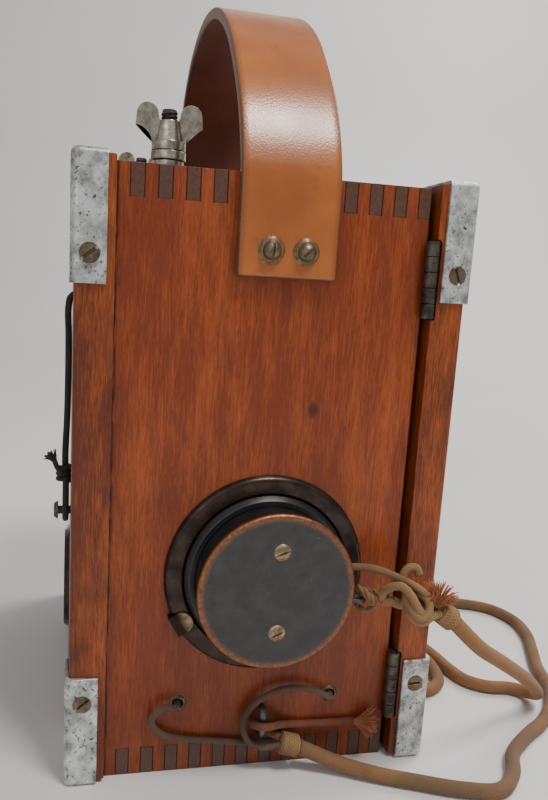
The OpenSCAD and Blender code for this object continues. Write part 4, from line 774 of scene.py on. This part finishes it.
# %% Ease the boards
def eased(node, finish, slot, width_mm, segments=2, long_mm=0.0, round_mm=0.0, rounded=None):
    """A copy of a construction piece with its sharp edges broken, in a finish of its own. Edges that
    the test named rounded passes get a wider rounding first."""
    merge_mm, flat_deg, sharp_rad, smooth_deg = 0.002, 0.5, 0.6, 30
    source = nodes[node]
    mesh = source.data.copy()
    piece = bpy.data.objects.new(node + "_finished", mesh)
    bpy.context.scene.collection.objects.link(piece)
    only(piece)
    bpy.ops.mesh.customdata_custom_splitnormals_clear()
    bpy.ops.object.mode_set(mode="EDIT")
    bpy.ops.mesh.select_all(action="SELECT")
    bpy.ops.mesh.remove_doubles(threshold=merge_mm * MM)
    bpy.ops.mesh.dissolve_limited(angle_limit=math.radians(flat_deg))
    if rounded:
        pick(piece, "EDGE", rounded)
        bpy.ops.mesh.bevel(offset=round_mm * MM, segments=6, affect="EDGES", clamp_overlap=False)
    pick(piece, "EDGE", lambda at, edge: (
        edge.calc_face_angle(0) > sharp_rad and edge.calc_length() > long_mm * MM))
    bpy.ops.mesh.bevel(offset=width_mm * MM, segments=segments, affect="EDGES", clamp_overlap=False)
    bpy.ops.object.mode_set(mode="OBJECT")
    bpy.ops.object.shade_smooth_by_angle(angle=math.radians(smooth_deg))
    level = piece.modifiers.new("wide_faces_stay_flat", "WEIGHTED_NORMAL")
    level.keep_sharp = True
    bpy.ops.object.modifier_apply(modifier=level.name)
    mesh.materials.clear()
    mesh.materials.append(finish)
    for face in mesh.polygons:
        face.material_index = 0
    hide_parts(node)
    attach(piece, source["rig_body"])
    return piece


boards = [eased(*row) for row in (
    ("near_panel", wood_panel, "panel_wood", 0.3, 2, 4), ("far_panel", wood_panel, "panel_wood", 0.3, 2, 4),
    ("top_board", wood_top, "board_wood", 0.3), ("bottom_board", wood_bottom, "board_wood", 0.3),
    ("front_cover", wood_cover, "cover_wood", 0.6, 2, 6), ("door", wood_cover, "cover_wood", 0.6, 2, 6),
    ("cell_cleat", wood_top, "board_wood", 0.8),
)]
print("boards:", [(b.name, len(b.data.polygons)) for b in boards])

# %% [markdown]
# ## Metals
# The corners are dull grey sheet, the screws browned steel, the hinges dark, the posts worn nickel and
# the receiver's ring dark bronze. Small parts and the works are brass, iron and tinned plate. They
# differ in colour, in how much bright metal still shows, and in their pits, so one recipe with nine
# sets of values serves them all.

# %% Make the metal finishes
def worn_metal(name, bright, dull, pit, metallic, smooth, rough, patch_mm, pit_mm, pit_level):
    """Metal with worn patches and pits; both are given by their size in millimetres."""
    made, tree, here = blank(name)
    patch = put(tree, "TexNoise", {
        "Vector": here, "Scale": per_metre(patch_mm), "Detail": 5, "Roughness": 0.62})
    ground = put(tree, "ValToRGB", {0: patch}, [(0.36, bright), (0.66, dull)])
    spots = put(tree, "TexNoise", {
        "Vector": here, "Scale": per_metre(pit_mm), "Detail": 3, "Roughness": 0.55})
    pits = put(tree, "MapRange", {"Value": spots, "From Min": pit_level, "From Max": pit_level + 0.1})
    colour = put(tree, "Mix", {0: pits, 6: ground, 7: linear(pit)}, data_type="RGBA")
    worn = put(tree, "MapRange", {
        "Value": patch, "From Min": 0.3, "From Max": 0.7, "To Min": smooth, "To Max": rough})
    dips = put(tree, "Math", {0: pits, 1: -1.0, 2: spots}, operation="MULTIPLY_ADD")
    bump = put(tree, "Bump", {"Height": dips, "Strength": 0.3, "Distance": 0.15 * MM})
    surface(made, {"Base Color": colour, "Metallic": metallic, "Roughness": worn, "Normal": bump})
    return made


sheet_grey = worn_metal("dull_tinned_sheet", "#e0e4e4", "#7f817d", "#4c4a44", 0.5, 0.26, 0.5, 6, 1.2, 0.585)
steel_brown = worn_metal("browned_steel_screw", "#85765f", "#5d5140", "#2e2720", 0.85, 0.35, 0.55, 3, 0.8,
                         0.62)
steel_dark = worn_metal("dark_hinge_steel", "#6b625a", "#3d3731", "#211b17", 0.85, 0.4, 0.6, 5, 0.9, 0.6)
nickel = worn_metal("worn_nickel_plate", "#d3ccbb", "#8f8574", "#463c2f", 0.95, 0.16, 0.38, 3, 0.8, 0.64)
bronze = worn_metal("bronzed_ring", "#463730", "#231a16", "#140f0d", 0.6, 0.2, 0.36, 7, 0.8, 0.66)
brass = worn_metal("aged_brass", "#b39b7c", "#7d6a54", "#3b2e23", 0.9, 0.28, 0.48, 2.5, 0.7, 0.6)
iron = worn_metal("bare_soft_iron", "#77777a", "#59585a", "#3a3634", 0.9, 0.35, 0.5, 4, 0.7, 0.64)
clip_brass = worn_metal("sprung_clip_brass", "#a08d6c", "#6b5d45", "#2b221a", 0.9, 0.3, 0.5, 2.5, 0.7, 0.6)
tinned = worn_metal("tinned_condenser_can", "#b7b9b6", "#8f918e", "#5e5d58", 0.75, 0.35, 0.5, 12, 1.0, 0.7)
metals = (sheet_grey, steel_brown, steel_dark, nickel, bronze, brass, iron, clip_brass, tinned)
print("metal finishes:", [metal.name for metal in metals])

# %% [markdown]
# The spring clip at the receiver's ring is brass too, but only its tip is kept bright by thumbs, and its
# foot has gone black. A second finish would leave a hard line, so the clip's own colour is darkened by
# the distance from the receiver's axis.

# %% Tarnish the clip's foot
receiver_x, receiver_z = 2.7 * MM, 81.4 * MM
bright_to, black_from = 34.5 * MM, 37 * MM
tree = clip_brass.node_tree
rubbed = tree.nodes["Principled BSDF"].inputs["Base Color"].links[0].from_socket
outward = put(tree, "Mapping", {"Vector": put(tree, "TexCoord").outputs["Object"],
                                "Location": (-receiver_x, 0, -receiver_z), "Scale": (1, 0, 1)})
reach = put(tree, "VectorMath", {0: outward}, operation="LENGTH")
foot_dirt = put(tree, "MapRange", {
    "Value": reach, "From Min": bright_to, "From Max": black_from, "To Max": 0.92})
tarnish = put(tree, "Mix", {0: foot_dirt, 6: rubbed, 7: linear("#1d1613")}, data_type="RGBA")
surface(clip_brass, {"Base Color": tarnish})
print("clip bright up to", bright_to, "m and black from", black_from, "m off the receiver's axis")

# %% [markdown]
# The caps are pressed from sheet over a former, so the rims at their tops and bottoms are rounded wider
# than a broken edge. The other pieces only lose their sharpness, and small round parts that are fine as
# they come keep the construction's own mesh and get a finish.

# %% Fit the corner caps
touching_mm, corner_mm = 0.05, 4
for node in ("front_caps", "door_caps"):
    low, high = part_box(node)
    outer_x = low[0] if node == "front_caps" else high[0]

    def on_rim(at, edge):
        """True for the edges round the outside of a cap's top or bottom."""
        in_x, in_y = abs(at.x - outer_x) / MM, min(at.y - low[1], high[1] - at.y) / MM
        level = all(min(v.co.z - low[2], high[2] - v.co.z) < touching_mm * MM for v in edge.verts)
        at_corner = in_x < corner_mm and in_y < corner_mm
        return level and (in_x < touching_mm or in_y < touching_mm or at_corner)

    caps = eased(node, sheet_grey, "cap_sheet", 0.5, 2, 4, 2.4, on_rim)
    print(caps.name, len(caps.data.polygons), "faces")

# %% Break the edges of the other metal pieces
for finish, slot, width, segments, names in (
    (steel_brown, "screw_steel", 0.12, 1, ("front_cap_screws", "door_cap_screws", "front_cover_screws")),
    (steel_dark, "hinge_steel", 0.15, 2, ("hinge_case_leaves",)),
    (steel_dark, "hinge_steel", 0.1, 2, ("hinge_door_leaves",)),
    (steel_dark, "hinge_steel", 0.3, 2, ("hinge_pins",)),
    (nickel, "nickel", 0.3, 2, ("post_collars",)),
    (nickel, "nickel", 0.4, 2, ("near_clamp_washer", "far_clamp_washer")),
    (nickel, "nickel", 0.2, 2, ("near_wing_nut", "far_wing_nut")),
    (nickel, "nickel", 0.3, 2, ("post_nuts",)),
    (bronze, "ring_bronze", 0.35, 2, ("faceplate",)),
    (steel_dark, "hinge_steel", 0.3, 2, ("loop_stud",)),
    (tinned, "condenser_tin", 0.8, 3, ("condenser",)),
    (brass, "brass", 0.3, 2, ("cup_lock_ring",)),
    (clip_brass, "ring_bronze", 0.35, 2, ("cup_clip",)),
    (bronze, "ring_bronze", 0.4, 3, ("receiver_cup",)),
):
    for node in names:
        eased(node, finish, slot, width, segments)
    print(finish.name, "on", ", ".join(names))

# %% Finish the pieces that keep their mesh
def coat(finish, *names):
    """Gives a finish to construction pieces that keep their own mesh."""
    for name in names:
        for place in nodes[name].material_slots:
            place.material = finish


coat(iron, "staple", "diaphragm", "transmitter_diaphragm", "receiver_magnet", "pole_pieces")
coat(steel_dark, "tail_loop", "hinge_case_screws", "hinge_door_screws")
coat(steel_brown, "eyelets", "strap_screws")
coat(brass, "back_screws", "strap_washers", "transmitter_housing", "carbon_button")
print("pieces not replaced so far:", sum(not node.hide_render for node in nodes.values()))

# %% [markdown]
# ## The strap
# The strap is one strip of thick tan leather, bent over the case and screwed to both sides. A grid of
# its flat size is laid along the bend row by row, thickened, and its edges are rounded. Three finishes
# go on it: polished grain outside, dark flesh inside, and a burnished edge between. The thickening
# counts finishes from the first slot, so all three are in place before it.

# %% Make the leather finishes
def leather(name, light, dark, crease, smooth, rough, grain_depth):
    """Vegetable-tanned leather; the map's u runs across the strap and v along it."""
    made, tree, here = blank(name)
    split = put(tree, "SeparateXYZ", {0: put(tree, "UVMap", uv_map="UVMap")})
    cloud = put(tree, "TexNoise", {"Vector": here, "Scale": per_metre(26), "Detail": 4})
    ground = put(tree, "ValToRGB", {0: cloud}, [(0.34, light), (0.7, dark)])
    # grain cells of 0.8 mm, wider than life so that they show, and scuffs of 5 mm
    grain = put(tree, "TexVoronoi", {"Vector": here, "Scale": per_metre(0.8)})
    scuff = put(tree, "TexNoise", {"Vector": here, "Scale": per_metre(5), "Detail": 5, "Roughness": 0.7})
    scuffed = put(tree, "MapRange", {"Value": scuff, "From Min": 0.6, "From Max": 0.75, "To Max": 0.35})
    worn = put(tree, "Mix", {0: scuffed, 6: ground, 7: linear(crease)}, data_type="RGBA")
    # a darker line along each edge, about 2.5 mm of the strap's 36
    across = put(tree, "Math", {0: split.outputs[0], 1: 0.5}, operation="SUBTRACT")
    off = put(tree, "Math", {0: across}, operation="ABSOLUTE")
    near = put(tree, "MapRange", {"Value": off, "From Min": 0.43, "From Max": 0.5, "To Max": 0.75})
    rimmed = put(tree, "Mix", {0: near, 6: worn, 7: linear(crease)}, data_type="RGBA")
    height = put(tree, "Math", {0: scuff, 1: 0.8, 2: grain}, operation="MULTIPLY_ADD")
    bump = put(tree, "Bump", {"Height": height, "Strength": grain_depth, "Distance": 0.12 * MM})
    gloss = put(tree, "MapRange", {
        "Value": cloud, "From Min": 0.3, "From Max": 0.7, "To Min": smooth, "To Max": rough})
    surface(made, {"Base Color": rimmed, "Roughness": gloss, "Specular IOR Level": 0.5, "Coat Weight": 0.2,
                   "Coat Roughness": 0.3, "Normal": bump})
    return made


leathers = (leather("polished_tan_leather", "#b86c30", "#9c5526", "#74401c", 0.2, 0.3, 0.28),
            leather("leather_flesh_side", "#6a3822", "#532616", "#3a1a0f", 0.5, 0.65, 0.4),
            leather("burnished_leather_edge", "#8a5c42", "#74503c", "#6a4836", 0.5, 0.65, 0.3))
print("leather finishes:", [m.name for m in leathers])

# %% The line of the bend
wide, strap_mid, thick, sideways = 36.0, 2.9, 4.6, 1.6
foot, spring, lean = 193.2, 228.6, 20.0
half_case, loop_high = 88.9, 80.5
half_span, rise = half_case + thick / 2, loop_high - thick / 2
line = [Vector((0, -half_span, foot + (spring - foot) * k / 20)) for k in range(20)]
line += [Vector((0, lean * math.sin(math.pi * k / 160) - half_span * math.cos(math.pi * k / 160),
                 spring + rise * math.sin(math.pi * k / 160))) for k in range(161)]
line += [Vector((0, half_span, spring - (spring - foot) * k / 20)) for k in range(1, 21)]
strip = smooth_route(line, 3.0)
rows = len(strip) - 1
print("strap", round(length_of(strip) / MM, 1), "mm long in", rows, "rows")

# %% Bend the strip
bpy.ops.object.select_all(action="DESELECT")
bpy.ops.mesh.primitive_grid_add(x_subdivisions=12, y_subdivisions=rows, size=1, calc_uvs=True)
strap = bpy.context.object
strap.name = "leather_strap"
for finish in leathers:
    strap.data.materials.append(finish)
for v in strap.data.vertices:
    row = round((v.co.y + 0.5) * rows)
    # past its first quarter the strap leans a little to one side
    past = max(0.0, row / rows - 0.25) / 0.75
    drift = sideways * math.sin(math.pi * past)
    v.co = strip[row] + Vector(((strap_mid + drift + wide * v.co.x) * MM, 0, 0))
wall = strap.modifiers.new("leather_thickness", "SOLIDIFY")
wall.thickness = thick * MM
wall.offset = 0
wall.material_offset = 1
wall.material_offset_rim = 2
edge = strap.modifiers.new("rounded_edges", "BEVEL")
edge.width = 0.8 * MM
edge.segments = 3
edge.limit_method = "ANGLE"
edge.angle_limit = math.radians(50)
for step in (wall, edge):
    bpy.ops.object.modifier_apply(modifier=step.name)
bpy.ops.object.shade_smooth_by_angle(angle=math.radians(40))
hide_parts("strap")
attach(strap, "case")
print("strap:", len(strap.data.polygons), "faces,", len(strap.data.materials), "leathers")

# %% [markdown]
# ## Receiver finishes
# The case and the ear cap are hard rubber, black with a soft sheen, and the cap's shoulder is
# rounded. The back disc was enamelled slate grey over copper, and years of handling have rubbed its rim
# through to the metal, so the finish changes with the distance from the disc's middle.

# %% Hard rubber
rubber, tree, here = blank("polished_hard_rubber")
bloom = put(tree, "TexNoise", {"Vector": here, "Scale": per_metre(11), "Detail": 4})
shade = put(tree, "ValToRGB", {0: bloom}, [(0.35, "#15161a"), (0.7, "#201f1f")])
gloss = put(tree, "MapRange", {
    "Value": bloom, "From Min": 0.3, "From Max": 0.7, "To Min": 0.26, "To Max": 0.42})
surface(rubber, {"Base Color": shade, "Roughness": gloss, "IOR": 1.6})
coat(rubber, "receiver_case")
print("rubber:", rubber.name)

# %% Enamelled disc
enamel, tree, here = blank("slate_enamel_over_copper")
middle = put(tree, "Mapping", {"Vector": here, "Location": (-receiver_x, 0, -receiver_z), "Scale": (1, 0, 1)})
out = put(tree, "VectorMath", {0: middle}, operation="LENGTH")
smear = put(tree, "TexNoise", {"Vector": here, "Scale": per_metre(6), "Detail": 5, "Roughness": 0.65})
# the enamel thins out towards the rim, along a line that wanders by up to 1.6 mm
wander = put(tree, "Math", {0: smear, 1: 1.6 * MM, 2: out}, operation="MULTIPLY_ADD")
rubbed = put(tree, "MapRange", {"Value": wander, "From Min": 27.4 * MM, "From Max": 30.0 * MM})
ground = put(tree, "ValToRGB", {0: smear}, [(0.35, "#3a3a3c"), (0.68, "#2e2d2d")])
chips = put(tree, "TexNoise", {"Vector": here, "Scale": per_metre(1.3), "Detail": 3})
chipped = put(tree, "MapRange", {"Value": chips, "From Min": 0.68, "From Max": 0.75, "To Max": 0.6})
specked = put(tree, "Mix", {0: chipped, 6: ground, 7: linear("#6a5a50")}, data_type="RGBA")
bare = put(tree, "ValToRGB", {0: chips}, [(0.3, "#b07a54"), (0.7, "#7d5036")])
colour = put(tree, "Mix", {0: rubbed, 6: specked, 7: bare}, data_type="RGBA")
bump = put(tree, "Bump", {"Height": chips, "Strength": 0.15, "Distance": 0.1 * MM})
surface(enamel, {"Base Color": colour, "Metallic": rubbed, "Roughness": 0.44, "Normal": bump})
disc = eased("back_disc", enamel, "disc_slate", 0.8, 3)
print("disc:", enamel.name, len(disc.data.polygons), "faces")

# %% Round shoulder of the ear cap
shoulder_y, shoulder_radius = -93.6 * MM, 31 * MM


def on_shoulder(at, edge):
    """True for the edges round the cap's outer end that keep to one depth."""
    level = abs(edge.verts[0].co.y - edge.verts[1].co.y) < 0.1 * MM
    return level and at.y < shoulder_y and math.hypot(at.x - receiver_x, at.z - receiver_z) > shoulder_radius


ear_cap = eased("ear_cap", rubber, "hard_rubber", 0.3, 2, 0, 2.6, on_shoulder)
print("ear cap:", len(ear_cap.data.polygons), "faces")

# %% [markdown]
# ## The works inside
# Behind the door stand two dry cells in plain red card with a pitch seal and brass terminals, and under
# the top board hang the induction coil and the condenser. One piece holds several materials there, so
# each finish is chosen by the height or by the distance along the coil.

# %% Dry cells
card, tree, here = blank("card_covered_dry_cell")
up = put(tree, "SeparateXYZ", {0: here}).outputs[2]
fade = put(tree, "TexNoise", {"Vector": here, "Scale": per_metre(22), "Detail": 5})
red = put(tree, "ValToRGB", {0: fade}, [(0.3, "#93412f"), (0.7, "#74301f")])
# card up to 160.6 mm, then the pitch, and brass over 161.3 mm
seal = put(tree, "MapRange", {"Value": up, "From Min": 160.6 * MM, "From Max": 160.9 * MM})
sealed = put(tree, "Mix", {0: seal, 6: red, 7: linear("#2b2320")}, data_type="RGBA")
posts = put(tree, "MapRange", {"Value": up, "From Min": 161.3 * MM, "From Max": 161.5 * MM})
colour = put(tree, "Mix", {0: posts, 6: sealed, 7: linear("#b5915c")}, data_type="RGBA")
fibre = put(tree, "TexNoise", {"Vector": here, "Scale": per_metre(0.8), "Detail": 3})
bump = put(tree, "Bump", {"Height": fibre, "Strength": 0.2, "Distance": 0.1 * MM})
surface(card, {"Base Color": colour, "Metallic": posts, "Roughness": 0.55, "Normal": bump})
dry_cells = eased("dry_cells", card, "cell_card", 0.5, 2)
print("dry cells:", len(dry_cells.data.polygons), "faces")

# %% Induction coil and receiver coils
windings, tree, here = blank("enamelled_copper_winding")
along_coil = put(tree, "SeparateXYZ", {0: here}).outputs[1]
# wire of 0.9 mm laid side by side, coarser than life so that the turns show
turns = put(tree, "Math", {0: along_coil, 1: 2 * math.pi * per_metre(0.9)}, operation="MULTIPLY")
ridge = put(tree, "Math", {0: turns}, operation="SINE")
wire = put(tree, "MapRange", {"Value": ridge, "From Min": -1.0, "From Max": 0.6})
# painted shade: the dark colour fills the grooves between the turns
copper = put(tree, "Mix", {0: wire, 6: linear("#3d1d12"), 7: linear("#a35d36")}, data_type="RGBA")
bump = put(tree, "Bump", {"Height": wire, "Strength": 0.5, "Distance": 0.3 * MM})
surface(windings, {"Base Color": copper, "Metallic": 0.6, "Roughness": 0.4, "Normal": bump})
coat(windings, "receiver_coils")

wood_spool = varnished_wood("waxed_maple_spool", "#8c6a45", "#6d4f31", "#3f2c1b", "#5d4530", 2, "#4c3826")
coil = eased("induction_coil", wood_spool, "coil_wood", 0.6, 2)
coil.data.materials.append(windings)
coil.data.materials.append(iron)
wound_half, wound_radius, core_past = 32.2 * MM, 9.7 * MM, 38.1 * MM
for face in coil.data.polygons:
    from_axis = math.hypot(face.center.x - spool_x * MM, face.center.z - spool_z * MM)
    if abs(face.center.y) < wound_half and from_axis < wound_radius:
        face.material_index = 1
    elif abs(face.center.y) > core_past:
        face.material_index = 2
print("coil:", len(coil.data.polygons), "faces in", len(coil.data.materials), "finishes")

# %% [markdown]
# ## Threaded studs
# A binding post is a threaded stud through the top board. A plain rod would pass from afar, but the
# bare end over the wing nut shows its thread. One tooth's profile is carried up a screw line by the
# Screw modifier round a plain core, once for each post.

# %% Cut the threads
def threaded_stud(name, x_mm, y_mm):
    """A 1/4 inch stud of twenty threads to the inch, from under the nut to the tip."""
    low, high, pitch = 198.9, 251.7, 1.27
    root, crest, core_radius, foot_gap, tip_gap = 2.62, 3.1, 2.7, 0.2, 1.0
    profile = [(root, 0, 0), (crest, 0, 0.5), (crest, 0, 0.77), (root, 0, pitch)]
    mesh = bpy.data.meshes.new(name)
    mesh.from_pydata([Vector(p) * MM for p in profile], [(0, 1), (1, 2), (2, 3)], [])
    thread = bpy.data.objects.new(name, mesh)
    bpy.context.scene.collection.objects.link(thread)
    only(thread)
    wound = thread.modifiers.new("thread", "SCREW")
    wound.screw_offset = pitch * MM
    wound.iterations = int((high - low - foot_gap - tip_gap) / pitch)
    wound.steps = wound.render_steps = 28
    wound.use_merge_vertices = True
    wound.merge_threshold = 0.01 * MM
    bpy.ops.object.modifier_apply(modifier=wound.name)
    bpy.ops.object.mode_set(mode="EDIT")
    bpy.ops.mesh.select_all(action="SELECT")
    bpy.ops.mesh.remove_doubles(threshold=0.01 * MM)
    bpy.ops.mesh.normals_make_consistent(inside=False)
    bpy.ops.object.mode_set(mode="OBJECT")
    thread.data.transform(Matrix.Translation(Vector((x_mm, y_mm, low + foot_gap)) * MM))
    bpy.ops.object.select_all(action="DESELECT")
    bpy.ops.mesh.primitive_cylinder_add(vertices=28, radius=core_radius * MM, depth=(high - low) * MM)
    core = bpy.context.object
    bpy.ops.object.mode_set(mode="EDIT")
    pick(core, "FACE", lambda at, face: abs(face.normal.z) > 0.9)
    bpy.ops.mesh.bevel(offset=0.5 * MM, segments=2, affect="EDGES")
    bpy.ops.object.mode_set(mode="OBJECT")
    core.data.transform(Matrix.Translation(Vector((x_mm, y_mm, (low + high) / 2)) * MM))
    made = joined([thread, core], name)
    bpy.ops.object.shade_smooth_by_angle(angle=math.radians(35))
    made.data.materials.clear()
    made.data.materials.append(steel_dark)
    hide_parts("post_studs")
    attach(made, "case")
    return made


near_stud = threaded_stud("near_stud_thread", -36.9, -60.8)
far_stud = threaded_stud("far_stud_thread", -36.9, 60.8)
print("studs:", [(s.name, len(s.data.polygons)) for s in (near_stud, far_stud)])
